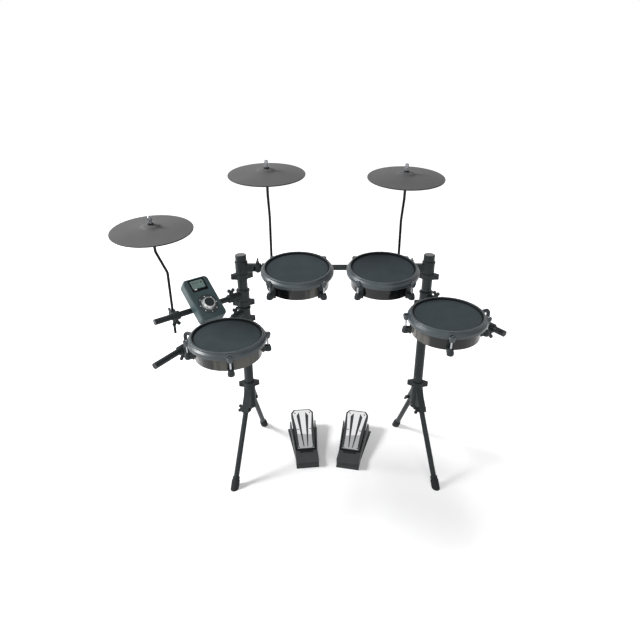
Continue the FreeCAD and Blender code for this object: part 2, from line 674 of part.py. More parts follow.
def leg_base(post, headings):
    """The cast housing of one post's two legs, with the pivot bolts."""
    shapes = [Part.makeCylinder(HOUSING_RADIUS, HOUSING_TOP - HOUSING_BOTTOM, V(0, 0, HOUSING_BOTTOM))]
    cutters = [Part.makeCylinder(POST_RADIUS + PIN_GAP, HOUSING_TOP, V(0, 0, HOUSING_BOTTOM / 2))]
    bolts = []
    for angle, side in zip(headings, (-1, 1)):
        body, hollow = channel()
        spin = FreeCAD.Placement(V(0, 0, 0), FreeCAD.Rotation(UP, angle))
        out = V(0, side, 0)
        half = out * CHANNEL_HALF
        hole = bar(BOLT_RADIUS + SEAT_GAP, PIVOT + half * 2, PIVOT - half * 2)
        shapes.append(placed(body, spin))
        cutters += [placed(hollow, spin), placed(hole, spin)]
        bolt = bolt_at(PIVOT + half, out, 2 * CHANNEL_HALF + NUT_HEIGHT, BOLT_RADIUS, LEG_RUN)
        nut = bar(NUT_RADIUS, PIVOT - half, PIVOT - half - out * NUT_HEIGHT)
        bolts.append(placed(joined([bolt, nut]), spin))
    housing = less(joined(shapes), cutters)
    return [placed(shape, turn(post, 0)) for shape in [housing] + bolts]


# Posts, collars and the crossbar
def post(axis):
    """One upright tube and its end cap."""
    tube = pipe(POST_RADIUS, POST_WALL, axis + UP * POST_BOTTOM, axis + UP * POST_TOP)
    cap = turned([
        (POST_RADIUS + SEAT_GAP, CAP_BOTTOM),
        (CAP_RADIUS, CAP_BOTTOM),
        (CAP_RADIUS, CAP_TOP - CAP_ROUND),
        (CAP_RADIUS - CAP_ROUND, CAP_TOP),
        (0, CAP_TOP),
        (0, POST_TOP),
        (POST_RADIUS + SEAT_GAP, POST_TOP),
    ])
    return [tube, placed(cap, turn(axis, 0))]


def collar(axis, bottom, angle):
    """A memory-lock collar with two ears, slit through one of them, and its screw."""
    shapes = [Part.makeCylinder(COLLAR_RADIUS, COLLAR_HEIGHT)]
    for side in (1, -1):
        shapes.append(Part.makeCylinder(EAR_RADIUS, COLLAR_HEIGHT, V(side * EAR_REACH, 0, 0)))
        tip = side * EAR_REACH
        shapes.append(slab([(0, -COLLAR_RADIUS), (tip, -EAR_RADIUS), (tip, EAR_RADIUS), (0, COLLAR_RADIUS)],
                           COLLAR_HEIGHT))
    bore = Part.makeCylinder(POST_RADIUS + SEAT_GAP, COLLAR_HEIGHT + 2 * OVERRUN, V(0, 0, -OVERRUN))
    slit = Part.makeBox(EAR_REACH + EAR_RADIUS + OVERRUN, COLLAR_SLIT, COLLAR_HEIGHT + 2 * OVERRUN,
                        V(0, -COLLAR_SLIT / 2, -OVERRUN))
    middle = V(EAR_REACH, 0, COLLAR_HEIGHT / 2)
    across = V(0, EAR_RADIUS + OVERRUN, 0)
    hole = bar(COLLAR_SCREW_RADIUS + SEAT_GAP, middle - across, middle + across)
    room = COLLAR_SCREW_HEAD + SIDE_GAP
    flat = Part.makeBox(2 * room, EAR_RADIUS, 2 * room, middle + V(-room, EAR_FLAT, -room))
    body = less(joined(shapes), [bore, slit, hole, flat])
    seat = middle + V(0, EAR_FLAT, 0)
    screw = joined([bar(COLLAR_SCREW_RADIUS, middle - V(0, EAR_RADIUS, 0), seat),
                    bar(COLLAR_SCREW_HEAD, seat, middle + V(0, EAR_RADIUS, 0))])
    return [placed(shape, turn(axis + UP * bottom, angle)) for shape in (body, screw)]


def flanged_sleeve(radius, flange_radius, bottom, top):
    """A solid sleeve about Z with a wider rounded flange at its top."""
    return turned([
        (0, bottom),
        (radius, bottom, CLAMP_ROUND),
        (radius, top - FLANGE_HEIGHT - CLAMP_ROUND),
        (flange_radius, top - FLANGE_HEIGHT),
        (flange_radius, top, CLAMP_ROUND),
        (0, top),
    ])


def top_clamp(axis, angle):
    """The clamp at the head of a post: a sleeve, an arm and the fork of the crossbar knuckle."""
    middle = UP * CROSSBAR_HEIGHT
    pin = middle + RIGHT * KNUCKLE_REACH
    sleeve = flanged_sleeve(TOP_CLAMP_RADIUS, FLANGE_RADIUS, TOP_CLAMP_BOTTOM, TOP_CLAMP_TOP)
    neck = block(KNUCKLE_REACH, NECK_WIDTH, KNUCKLE_HEIGHT, middle + RIGHT * (KNUCKLE_REACH / 2))
    long_edges = [e for e in neck.Edges if e.BoundBox.XLength > KNUCKLE_REACH / 2]
    neck = neck.makeFillet(CLAMP_WALL, long_edges)
    half = UP * (KNUCKLE_HEIGHT / 2)
    fork = round_bar(KNUCKLE_RADIUS, pin - half, pin + half, CLAMP_ROUND)
    room = TONGUE_HEIGHT + 2 * SIDE_GAP
    slot = block(2 * (KNUCKLE_RADIUS + OVERRUN), 2 * KNUCKLE_RADIUS + OVERRUN, room, pin + RIGHT * OVERRUN)
    bore = Part.makeCylinder(POST_RADIUS + SEAT_GAP, TOP_CLAMP_TOP, UP * (TOP_CLAMP_BOTTOM / 2))
    hole = Part.makeCylinder(PIVOT_BOLT_RADIUS + SEAT_GAP, KNUCKLE_HEIGHT + 2 * OVERRUN,
                             pin - UP * (KNUCKLE_HEIGHT / 2 + OVERRUN))
    body = less(joined([sleeve, neck, fork]), [bore, slot, hole])
    top = pin + half
    bolt = bolt_at(top, UP, KNUCKLE_HEIGHT + NUT_HEIGHT, PIVOT_BOLT_RADIUS, V(0, 1, 0))
    nut = bar(NUT_RADIUS, top - UP * KNUCKLE_HEIGHT, top - UP * (KNUCKLE_HEIGHT + NUT_HEIGHT))
    return [placed(shape, turn(axis, angle)) for shape in (body, joined([bolt, nut]))]


LEFT_KNUCKLE = LEFT_POST + RIGHT * KNUCKLE_REACH + UP * CROSSBAR_HEIGHT
RIGHT_KNUCKLE = RIGHT_POST - RIGHT * KNUCKLE_REACH + UP * CROSSBAR_HEIGHT


def crossbar_end(pin, angle):
    """The tongue and socket at one end of the crossbar."""
    tongue = Part.makeCylinder(KNUCKLE_RADIUS, TONGUE_HEIGHT, -UP * (TONGUE_HEIGHT / 2))
    reach = SOCKET_START + SOCKET_FLOOR
    web = block(reach, NECK_WIDTH, TONGUE_HEIGHT, RIGHT * (reach / 2))
    far = RIGHT * (SOCKET_START + SOCKET_LENGTH)
    socket = round_bar(TUBE_RADIUS + CLAMP_WALL, RIGHT * SOCKET_START, far, CLAMP_ROUND)
    hole = Part.makeCylinder(PIVOT_BOLT_RADIUS + PIN_GAP, TONGUE_HEIGHT + 2 * OVERRUN,
                             -UP * (TONGUE_HEIGHT / 2 + OVERRUN))
    bore = bar(TUBE_RADIUS + SEAT_GAP, RIGHT * reach, RIGHT * (reach + SOCKET_LENGTH))
    return placed(less(joined([tongue, web, socket]), [hole, bore]), turn(pin, angle))


def crossbar():
    """The tube between the posts and its two ends."""
    inset = RIGHT * (SOCKET_START + SOCKET_FLOOR)
    tube = pipe(TUBE_RADIUS, TUBE_WALL, LEFT_KNUCKLE + inset, RIGHT_KNUCKLE - inset)
    return [tube, crossbar_end(LEFT_KNUCKLE, 0), crossbar_end(RIGHT_KNUCKLE, 180)]


# Arms and clamps
def arm(axis, angle, height, reach):
    """One arm tube and the plug in its free end."""
    out = heading(angle)
    base = axis + UP * height
    tube = pipe(TUBE_RADIUS, TUBE_WALL, base + out * ARM_START, base + out * reach)
    inside = TUBE_RADIUS - TUBE_WALL - SEAT_GAP
    plug = bar(inside, base + out * (reach - PLUG_DEPTH), base + out * reach)
    return [tube, plug]


def arm_clamp(axis, angle, height):
    """The sleeve that turns on a post, the socket of the arm and the bolt on the socket."""
    sleeve = flanged_sleeve(ARM_CLAMP_RADIUS, ARM_CLAMP_RADIUS + POST_WALL, -ARM_CLAMP_HEIGHT / 2,
                            ARM_CLAMP_HEIGHT / 2)
    outside = TUBE_RADIUS + CLAMP_WALL
    socket = round_bar(outside, V(0, 0, 0), RIGHT * ARM_SOCKET_REACH, CLAMP_ROUND)
    bore = Part.makeCylinder(POST_RADIUS + PIN_GAP, ARM_CLAMP_HEIGHT + 2 * OVERRUN,
                             -UP * (ARM_CLAMP_HEIGHT / 2 + OVERRUN))
    seat = bar(TUBE_RADIUS + SEAT_GAP, RIGHT * ARM_START, RIGHT * (ARM_SOCKET_REACH + OVERRUN))
    top = RIGHT * ARM_BOLT_REACH + UP * (outside + WING_THICKNESS / 2)
    pad = bar(NUT_RADIUS, RIGHT * ARM_BOLT_REACH, top)
    hole = bar(BOLT_RADIUS + SEAT_GAP, RIGHT * ARM_BOLT_REACH, top + UP * OVERRUN)
    body = less(joined([sleeve, socket, pad]), [bore, seat, hole])
    shank = top.z - TUBE_RADIUS - SIDE_GAP
    bolt = bolt_at(top, UP, shank, BOLT_RADIUS, RIGHT)
    return [placed(shape, turn(axis + UP * height, angle)) for shape in (body, bolt)]


def rod_clamp(spot, tube_axis, side, rod_radius, length):
    """A clamp on a level tube that holds an upright rod beside it, with its two wing bolts."""
    outside = TUBE_RADIUS + CLAMP_WALL
    away = TUBE_RADIUS + CLAMP_WEB + rod_radius
    boss_radius = rod_radius + CLAMP_WALL
    upright = spot + side * away
    half = tube_axis * (length / 2)
    ring = round_bar(outside, spot - half, spot + half, CLAMP_ROUND)
    boss = round_bar(boss_radius, upright - UP * outside, upright + UP * outside, CLAMP_ROUND)
    bottom = spot - UP * (outside + WING_THICKNESS / 2)
    front = upright + side * (boss_radius + WING_THICKNESS / 2)
    pads = [bar(NUT_RADIUS, spot, bottom), bar(NUT_RADIUS, upright, front)]
    cutters = [
        bar(TUBE_RADIUS + SEAT_GAP, spot - half * 2, spot + half * 2),
        bar(rod_radius + SEAT_GAP, upright - UP * (2 * outside), upright + UP * (2 * outside)),
        bar(BOLT_RADIUS + SEAT_GAP, spot, bottom - UP * OVERRUN),
        bar(BOLT_RADIUS + SEAT_GAP, upright, front + side * OVERRUN),
    ]
    body = less(joined([ring, boss] + pads), cutters)
    under = (spot - bottom).Length - TUBE_RADIUS - SIDE_GAP
    ahead = (front - upright).Length - rod_radius - SIDE_GAP
    return [body, bolt_at(bottom, -UP, under, BOLT_RADIUS, tube_axis),
            bolt_at(front, side, ahead, BOLT_RADIUS, UP)]


# Pads
def pad_place(name):
    """Where a pad stands: turned to tip towards the player, about the top of its rim."""
    start, run = pad_arm(name)
    along, side, holder, rise, tilt, _ = PAD_PLACES[name]
    aside = FreeCAD.Rotation(UP, side).multVec(run)
    spot = start + run * along + aside * (PAD_PIVOT_RADIUS + holder) + UP * (PAD_PIVOT_DEPTH + rise)
    return FreeCAD.Placement(spot, FreeCAD.Rotation(RIGHT, tilt))


def pad_arm(name):
    """A point on the axis of the tube that carries a pad, and the direction of that tube."""
    if name == "snare":
        return LEFT_POST + UP * SNARE_ARM_HEIGHT, heading(SNARE_ARM_HEADING)
    if name == "floor_tom":
        return RIGHT_POST + UP * FLOOR_ARM_HEIGHT, heading(FLOOR_ARM_HEADING)
    return LEFT_KNUCKLE, RIGHT


def pad_bearing(name):
    """The direction, in degrees in the pad's own plane, from its middle to the tube that carries it."""
    start, run = pad_arm(name)
    spot = pad_place(name).Base
    foot = start + run * run.dot(spot - start)
    away = foot - spot
    return math.degrees(math.atan2(away.y, away.x))


def lug_angles(name):
    """The angles of a pad's lugs."""
    first = PAD_PLACES[name][-1]
    return [first + 360 * index / LUG_COUNT for index in range(LUG_COUNT)]


def spun(shape, angle):
    """A copy of a shape, turned about the Z axis."""
    return placed(shape, turn(V(0, 0, 0), angle))


def pad_hoop(angles):
    """The counterhoop with its ears."""
    inside = SHELL_RADIUS + SIDE_GAP + HEAD_SKIRT_WALL + SIDE_GAP
    ring = turned([
        (HEAD_RADIUS, 0, RIM_ROUND),
        (RIM_RADIUS, 0, RIM_ROUND),
        (RIM_RADIUS, -RIM_DROP, RIM_ROUND / 2),
        (HOOP_RADIUS, -HOOP_SHOULDER, RIM_ROUND),
        (HOOP_RADIUS, -HOOP_HEIGHT, RIM_ROUND / 2),
        (inside, -HOOP_HEIGHT),
        (inside, -RIM_STEP),
        (HEAD_RADIUS, -RIM_STEP),
    ])
    ears = []
    cutters = []
    height = HOOP_HEIGHT - HOOP_EAR_TOP
    for angle in angles:
        ear = turned([
            (0, -HOOP_EAR_BOTTOM),
            (HOOP_EAR_FOOT, -HOOP_EAR_BOTTOM, EAR_ROUND),
            (HOOP_EAR_RADIUS, -HOOP_EAR_WAIST, EAR_ROUND),
            (HOOP_EAR_RADIUS, -HOOP_EAR_TOP, EAR_ROUND),
            (0, -HOOP_EAR_TOP),
        ])
        ear.translate(RIGHT * TENSION_RADIUS)
        root = Part.makeBox(TENSION_RADIUS - RIM_RADIUS, 2 * HOOP_EAR_FOOT, height,
                            V(RIM_RADIUS, -HOOP_EAR_FOOT, -HOOP_HEIGHT))
        ears += [spun(ear, angle), spun(root, angle)]
        recess = Part.makeCylinder(RECESS_RADIUS, RECESS_DEPTH + HOOP_HEIGHT,
                                   V(TENSION_RADIUS, 0, -HOOP_EAR_TOP - RECESS_DEPTH))
        hole = Part.makeCylinder(TENSION_ROD_RADIUS + SIDE_GAP, PAD_HEIGHT, V(TENSION_RADIUS, 0, -PAD_HEIGHT))
        cutters += [spun(recess, angle), spun(hole, angle)]
    return [less(joined([ring] + ears), cutters)]


def pad_head():
    """The playing head: a sheet with a collar that slips over the shell."""
    inside = SHELL_RADIUS + SIDE_GAP
    outside = inside + HEAD_SKIRT_WALL
    return [turned([
        (0, -RIM_STEP),
        (outside, -RIM_STEP),
        (outside, -RIM_STEP - HEAD_SKIRT),
        (inside, -RIM_STEP - HEAD_SKIRT),
        (inside, -RIM_STEP - HEAD_THICKNESS),
        (0, -RIM_STEP - HEAD_THICKNESS),
    ])]


def pad_shell(bearing):
    """The dish-shaped shell with posts for the sensor plate and a jack socket in its floor."""
    top = -RIM_STEP - HEAD_THICKNESS
    floor = SHELL_FLOOR - PAD_HEIGHT
    dish = turned([
        (0, -PAD_HEIGHT),
        (SHELL_RADIUS, -PAD_HEIGHT),
        (SHELL_RADIUS, top),
        (SHELL_RADIUS - SHELL_WALL, top),
        (SHELL_RADIUS - SHELL_WALL, floor),
        (0, floor),
    ])
    shapes = [dish]
    for index in range(PAD_BOSS_COUNT):
        boss = Part.makeCylinder(PAD_BOSS_RADIUS, PAD_HEIGHT - PLATE_DEPTH, V(PAD_BOSS_CIRCLE, 0, -PAD_HEIGHT))
        shapes.append(spun(boss, bearing + 360 * index / PAD_BOSS_COUNT))
    jack = V(JACK_CIRCLE, 0, -PAD_HEIGHT)
    boss = Part.makeCylinder(JACK_BOSS_RADIUS, JACK_BOSS_HEIGHT, jack)
    shapes.append(spun(boss, bearing + JACK_TURN))
    socket = Part.makeCylinder(JACK_RADIUS, JACK_DEPTH + OVERRUN, jack - UP * OVERRUN)
    return [joined(shapes).cut(spun(socket, bearing + JACK_TURN))]


def pad_lugs(angles, bearing):
    """The lugs on the shell and the two-eared bracket that the pad tilts on."""
    wall = Part.makeCylinder(SHELL_RADIUS + SEAT_GAP, 2 * PAD_HEIGHT, -UP * (2 * PAD_HEIGHT))
    solids = []
    inner = SHELL_RADIUS - LUG_PLATE
    for angle in angles:
        plate = Part.makeBox(2 * LUG_PLATE, LUG_PLATE_WIDTH, LUG_BOTTOM - LUG_TOP,
                             V(inner, -LUG_PLATE_WIDTH / 2, -LUG_BOTTOM))
        foot = turned([
            (0, -LUG_BOTTOM),
            (LUG_RADIUS, -LUG_BOTTOM, LUG_ROUND),
            (LUG_RADIUS, -LUG_WAIST, LUG_ROUND),
            (LUG_NECK_RADIUS, -LUG_FOOT_TOP, EAR_ROUND),
            (0, -LUG_FOOT_TOP),
        ])
        foot.translate(RIGHT * TENSION_RADIUS)
        web = Part.makeBox(TENSION_RADIUS - inner, 2 * LUG_NECK_RADIUS, LUG_BOTTOM - LUG_FOOT_TOP - LUG_ROUND,
                           V(inner, -LUG_NECK_RADIUS, LUG_ROUND / 2 - LUG_BOTTOM))
        hole = Part.makeCylinder(TENSION_ROD_RADIUS + SEAT_GAP, ROD_DEPTH + OVERRUN,
                                 V(TENSION_RADIUS, 0, -LUG_FOOT_TOP - ROD_DEPTH))
        solids.append(spun(less(joined([plate, foot, web]), [wall, hole]), angle))
    height = BRACKET_BOTTOM - BRACKET_TOP
    pivot = V(PAD_PIVOT_RADIUS, 0, -PAD_PIVOT_DEPTH)
    back = Part.makeBox(BRACKET_FACE - inner, BRACKET_WIDTH, height, V(inner, -BRACKET_WIDTH / 2, -BRACKET_BOTTOM))
    shapes = [back]
    for side in (1, -1):
        middle = side * (EYE_WIDTH / 2 + SIDE_GAP + BRACKET_EAR / 2)
        web = block(PAD_PIVOT_RADIUS - inner, BRACKET_EAR, 2 * EYE_RADIUS,
                    V((PAD_PIVOT_RADIUS + inner) / 2, middle, -PAD_PIVOT_DEPTH))
        start = pivot + V(0, middle - BRACKET_EAR / 2, 0)
        shapes += [web, Part.makeCylinder(EYE_RADIUS, BRACKET_EAR, start, V(0, 1, 0))]
    across = V(0, BRACKET_WIDTH, 0)
    hole = bar(PIVOT_BOLT_RADIUS + PIN_GAP, pivot - across, pivot + across)
    solids.append(spun(less(joined(shapes), [wall, hole]), bearing))
    return solids


def pad_tension_rods(angles):
    """The chromed tension rods with square heads."""
    seat = -HOOP_EAR_TOP - RECESS_DEPTH
    foot = -LUG_FOOT_TOP - ROD_DEPTH + SEAT_GAP
    side = BOLT_HEAD_SIDE
    solids = []
    for angle in angles:
        shank = Part.makeCylinder(TENSION_ROD_RADIUS, seat - foot, V(TENSION_RADIUS, 0, foot))
        top = Part.makeBox(side, side, BOLT_HEAD_HEIGHT, V(TENSION_RADIUS - side / 2, -side / 2, seat))
        solids.append(spun(joined([shank, top]), angle))
    return solids


def pad_trigger():
    """The sensor plate on its posts, the foam under the head and the sensor disc below."""
    top = -RIM_STEP - HEAD_THICKNESS
    plate = Part.makeCylinder(PLATE_RADIUS, PLATE_THICKNESS, -UP * PLATE_DEPTH)
    foam = bar(FOAM_RADIUS, UP * (PLATE_THICKNESS - PLATE_DEPTH), UP * top)
    disc = Part.makeCylinder(SENSOR_RADIUS, SENSOR_THICKNESS, -UP * (PLATE_DEPTH + SENSOR_THICKNESS))
    return [plate, foam, disc]


def pad_pivot(name):
    """The point and the axis that a pad tilts about."""
    bearing = pad_bearing(name)
    place = pad_place(name)
    spot = place.multVec(heading(bearing) * PAD_PIVOT_RADIUS - UP * PAD_PIVOT_DEPTH)
    axis = place.Rotation.multVec(heading(bearing + 90))
    return spot, axis


def pad_holder(name):
    """The clamp on the tube, the bent rod that rises from it and the bolt that the pad tilts on."""
    pivot, axis = pad_pivot(name)
    start, run = pad_arm(name)
    spot = start + run * run.dot(pivot - start)
    side = pivot - spot
    side.z = 0
    side.normalize()
    away = TUBE_RADIUS + CLAMP_WEB + HOLDER_ROD_RADIUS
    foot = spot + side * away - UP * HOLDER_DROP
    corner = V(foot.x, foot.y, pivot.z)
    rod = bent_bar(HOLDER_ROD_RADIUS, [foot, corner, pivot], HOLDER_BEND)
    half = axis * (EYE_WIDTH / 2)
    eye = round_bar(EYE_RADIUS, pivot - half, pivot + half, CLAMP_ROUND / 2)
    hole = bar(PIVOT_BOLT_RADIUS + SEAT_GAP, pivot - half * 2, pivot + half * 2)
    head = axis * (EYE_WIDTH / 2 + 2 * SIDE_GAP + BRACKET_EAR)
    bolt = bolt_at(pivot + head, axis, 2 * head.Length + NUT_HEIGHT, PIVOT_BOLT_RADIUS, UP)
    nut = bar(NUT_RADIUS, pivot - head, pivot - head - axis * NUT_HEIGHT)
    clamp = rod_clamp(spot, run, side, HOLDER_ROD_RADIUS, HOLDER_CLAMP_LENGTH)
    return clamp + [joined([rod, eye]).cut(hole), joined([bolt, nut])]


def pad(name):
    """Writes the six nodes of one pad."""
    place = pad_place(name)
    bearing = pad_bearing(name)
    angles = lug_angles(name)
    pieces = {
        "shell": pad_shell(bearing),
        "hoop": pad_hoop(angles),
        "head": pad_head(),
        "lugs": pad_lugs(angles, bearing),
        "tension_rods": pad_tension_rods(angles),
        "trigger": pad_trigger(),
    }
    for piece, solids in pieces.items():
        export("%s_%s" % (name, piece), [placed(solid, place) for solid in solids])


# Cymbals
def cymbal_axis():
    """The direction of the tilted top of every cymbal rod."""
    return FreeCAD.Rotation(RIGHT, CYMBAL_TILT).multVec(UP)


def rod_base(name):
    """The tube point, tube direction and side of the clamp that holds a cymbal rod."""
    if name == "left":
        run = heading(MODULE_ARM_HEADING)
        return LEFT_POST + UP * MODULE_ARM_HEIGHT + run * LEFT_ROD_REACH, run, heading(MODULE_ARM_HEADING - 90)
    along = {"middle": MIDDLE_ROD_ALONG, "right": RIGHT_ROD_ALONG}[name]
    return LEFT_KNUCKLE + RIGHT * along, RIGHT, V(0, 1, 0)


def cymbal_place(name):
    """Where a cymbal sits: the middle of its edge, tipped towards the player."""
    spot, _, side = rod_base(name)
    straight, angle = CYMBALS[name]
    foot = spot + side * (TUBE_RADIUS + CLAMP_WEB + ROD_RADIUS)
    upper = foot + heading(angle) * ROD_OFFSET + UP * (straight + ROD_SLANT)
    return FreeCAD.Placement(upper + cymbal_axis() * ROD_TOP, FreeCAD.Rotation(RIGHT, CYMBAL_TILT))


def cymbal():
    """The cymbal pad: a thin cone with a raised bell and a centre hole."""
    bell = BOW_HEIGHT + BELL_HEIGHT
    return turned([
        (CYMBAL_RADIUS, 0, CYMBAL_LIP),
        (CYMBAL_RADIUS, CYMBAL_EDGE, CYMBAL_LIP),
        (BELL_RADIUS, BOW_HEIGHT + CYMBAL_SKIN, BELL_FILLET),
        (BELL_TOP_RADIUS, bell + CYMBAL_SKIN, BELL_HEIGHT),
        (CYMBAL_HOLE, HUB_HEIGHT + CYMBAL_SKIN),
        (CYMBAL_HOLE, HUB_HEIGHT),
        (BELL_TOP_RADIUS, bell, BELL_HEIGHT),
        (BELL_RADIUS, BOW_HEIGHT, BELL_FILLET),
    ])


def cymbal_rod(name):
    """The bent rod with its stop, the felts either side of the cymbal and the nut on top."""
    place = cymbal_place(name)
    spot, _, side = rod_base(name)
    axis = cymbal_axis()
    upper = place.Base - axis * ROD_TOP
    foot = spot + side * (TUBE_RADIUS + CLAMP_WEB + ROD_RADIUS)
    lower = V(foot.x, foot.y, upper.z - ROD_SLANT)
    rod = bent_bar(ROD_RADIUS, [foot - UP * ROD_TAIL, lower, upper, place.Base + axis * ROD_TIP], ROD_BEND)
    hole = ROD_RADIUS + SEAT_GAP
    felt_top = HUB_HEIGHT - ROCK_GAP
    felt_bottom = felt_top - LOWER_FELT_HEIGHT
    upper_bottom = HUB_HEIGHT + CYMBAL_SKIN + ROCK_GAP
    nut_bottom = upper_bottom + UPPER_FELT_HEIGHT
    stem = nut_bottom + NUT_FLANGE_HEIGHT
    top = stem + NUT_STEM_HEIGHT
    stop = turned([(hole, felt_bottom - STOP_HEIGHT), (STOP_RADIUS, felt_bottom - STOP_HEIGHT),
                   (STOP_RADIUS, felt_bottom), (hole, felt_bottom)])
    lower_felt = turned([(hole, felt_bottom), (FELT_RADIUS, felt_bottom), (FELT_RADIUS, felt_top), (hole, felt_top)])
    upper_felt = turned([(hole, upper_bottom), (FELT_RADIUS, upper_bottom), (FELT_RADIUS, nut_bottom),
                         (hole, nut_bottom)])
    nut = turned([(hole, nut_bottom), (NUT_FLANGE_RADIUS, nut_bottom), (NUT_FLANGE_RADIUS, stem),
                  (NUT_STEM_RADIUS, stem), (NUT_STEM_RADIUS, top - NUT_ROUND), (NUT_STEM_RADIUS - NUT_ROUND, top),
                  (0, top), (0, ROD_TIP + SEAT_GAP), (hole, ROD_TIP + SEAT_GAP)])
    return [rod] + [placed(shape, place) for shape in (stop, lower_felt, upper_felt, nut)]


# Sound module
MODULE_LEVEL = heading(MODULE_ARM_HEADING + 90)
MODULE_FOOT = LEFT_POST + UP * MODULE_ARM_HEIGHT + heading(MODULE_ARM_HEADING) * MODULE_ALONG
MODULE_CENTRE = MODULE_FOOT + MODULE_LEVEL * MODULE_ASIDE + UP * MODULE_RISE


def module_place():
    """The module's frame: X along its width, Y up its face, Z out of the face."""
    across = -heading(MODULE_ARM_HEADING)
    tilt = math.radians(MODULE_TILT)
    return frame(MODULE_CENTRE, across, MODULE_LEVEL * math.sin(tilt) + UP * math.cos(tilt))


def module_front():
    """The front case, hollow behind, with the window recess and the dial opening."""
    outer = rounded_block(MODULE_WIDTH, MODULE_LENGTH, -FRONT_DEPTH, 0, CASE_CORNER)
    rim = [e for e in outer.Edges if e.BoundBox.ZMin > -SEAT_GAP]
    outer = outer.makeFillet(CASE_ROUND, rim)
    inner = rounded_block(MODULE_WIDTH - 2 * CASE_WALL, MODULE_LENGTH - 2 * CASE_WALL, -FRONT_DEPTH - OVERRUN,
                          -2 * CASE_WALL, CASE_CORNER - CASE_WALL)
    window = V(0, WINDOW_CENTRE, 0)
    recess = block(WINDOW_WIDTH, WINDOW_LENGTH, 2 * WINDOW_THICKNESS, window)
    opening = block(WINDOW_WIDTH - 2 * WINDOW_LIP, WINDOW_LENGTH - 2 * WINDOW_LIP, 2 * FRONT_DEPTH, window)
    ring = Part.makeCylinder(RING_RADIUS, RING_DEPTH + OVERRUN, V(0, DIAL_CENTRE, -RING_DEPTH))
    hole = Part.makeCylinder(DIAL_HUB_RADIUS + 2 * SIDE_GAP, 2 * FRONT_DEPTH, V(0, DIAL_CENTRE, -FRONT_DEPTH))
    return [less(outer, [inner, recess, opening, ring, hole])]


def module_rear():
    """The rear case with posts for the circuit board, and the bracket that turns on the arm."""
    back = -FRONT_DEPTH - REAR_DEPTH
    outer = rounded_block(MODULE_WIDTH, MODULE_LENGTH, back, -FRONT_DEPTH, CASE_CORNER)
    rim = [e for e in outer.Edges if e.BoundBox.ZMax < back + SEAT_GAP]
    outer = outer.makeFillet(CASE_WALL, rim)
    inner = rounded_block(MODULE_WIDTH - 2 * CASE_WALL, MODULE_LENGTH - 2 * CASE_WALL, back + CASE_WALL,
                          OVERRUN - FRONT_DEPTH, CASE_CORNER - CASE_WALL)
    shapes = [outer.cut(inner)]
    for x in (1, -1):
        for y in (1, -1):
            spot = V(x * (BOARD_WIDTH / 2 - CASE_BOSS_INSET), y * (BOARD_LENGTH / 2 - CASE_BOSS_INSET), back)
            shapes.append(Part.makeCylinder(CASE_BOSS_RADIUS, -BOARD_DEPTH - BOARD_THICKNESS - back, spot))
    case = joined(shapes)
    tube = module_place().inverse().multVec(MODULE_FOOT)
    axis = V(0, tube.y, tube.z)
    outside = TUBE_RADIUS + CLAMP_WALL
    half = RIGHT * (BRACKET_RING_LENGTH / 2)
    plate = block(BRACKET_PLATE_WIDTH, BRACKET_PLATE_LENGTH, BRACKET_PLATE, V(0, tube.y, back - BRACKET_PLATE / 2))
    neck = block(BRACKET_RING_LENGTH, outside, back - tube.z, V(0, tube.y, (back + tube.z) / 2))
    ring = round_bar(outside, axis - half, axis + half, CLAMP_ROUND)
    bottom = axis - UP * (outside + WING_THICKNESS / 2)
    boss = bar(NUT_RADIUS, axis, bottom)
    bore = bar(TUBE_RADIUS + PIN_GAP, axis - half * 2, axis + half * 2)
    hole = bar(BOLT_RADIUS + SEAT_GAP, axis, bottom - UP * OVERRUN)
    bracket = less(joined([plate, neck, ring, boss]), [bore, hole])
    shank = (axis - bottom).Length - TUBE_RADIUS - SIDE_GAP
    return [case, bracket, bolt_at(bottom, -UP, shank, BOLT_RADIUS, RIGHT)]


def module_display():
    """The window plate over the display."""
    width = WINDOW_WIDTH - 2 * SEAT_GAP
    length = WINDOW_LENGTH - 2 * SEAT_GAP
    return [block(width, length, WINDOW_THICKNESS, V(0, WINDOW_CENTRE, -WINDOW_THICKNESS / 2))]


def module_dial():
    """The chromed dial, a cup on a hub that fits the encoder shaft."""
    well = BUTTON_RADIUS + SIDE_GAP
    dial = turned([
        (SHAFT_RADIUS + SEAT_GAP, -DIAL_HUB_DEPTH),
        (DIAL_HUB_RADIUS, -DIAL_HUB_DEPTH),
        (DIAL_HUB_RADIUS, SIDE_GAP),
        (DIAL_RADIUS, SIDE_GAP),
        (DIAL_TOP_RADIUS, DIAL_HEIGHT),
        (well, DIAL_HEIGHT),
        (well, DIAL_FLOOR),
        (SHAFT_RADIUS + SEAT_GAP, DIAL_FLOOR),
    ])
    return [placed(dial, turn(V(0, DIAL_CENTRE, 0), 0))]


def module_button():
    """The push button in the middle of the dial."""
    bottom = DIAL_FLOOR + BUTTON_TRAVEL + SEAT_GAP
    return [Part.makeCylinder(BUTTON_RADIUS, BUTTON_HEIGHT, V(0, DIAL_CENTRE, bottom))]


def module_circuit_board():
    """The circuit board with the encoder under the dial."""
    plate = rounded_block(BOARD_WIDTH, BOARD_LENGTH, -BOARD_DEPTH - BOARD_THICKNESS, -BOARD_DEPTH, BOARD_CORNER)
    encoder = block(ENCODER_SIDE, ENCODER_SIDE, ENCODER_HEIGHT, V(0, DIAL_CENTRE, ENCODER_HEIGHT / 2 - BOARD_DEPTH))
    shaft = bar(SHAFT_RADIUS, V(0, DIAL_CENTRE, -BOARD_DEPTH), V(0, DIAL_CENTRE, SHAFT_TOP))
    return [joined([plate, encoder, shaft])]


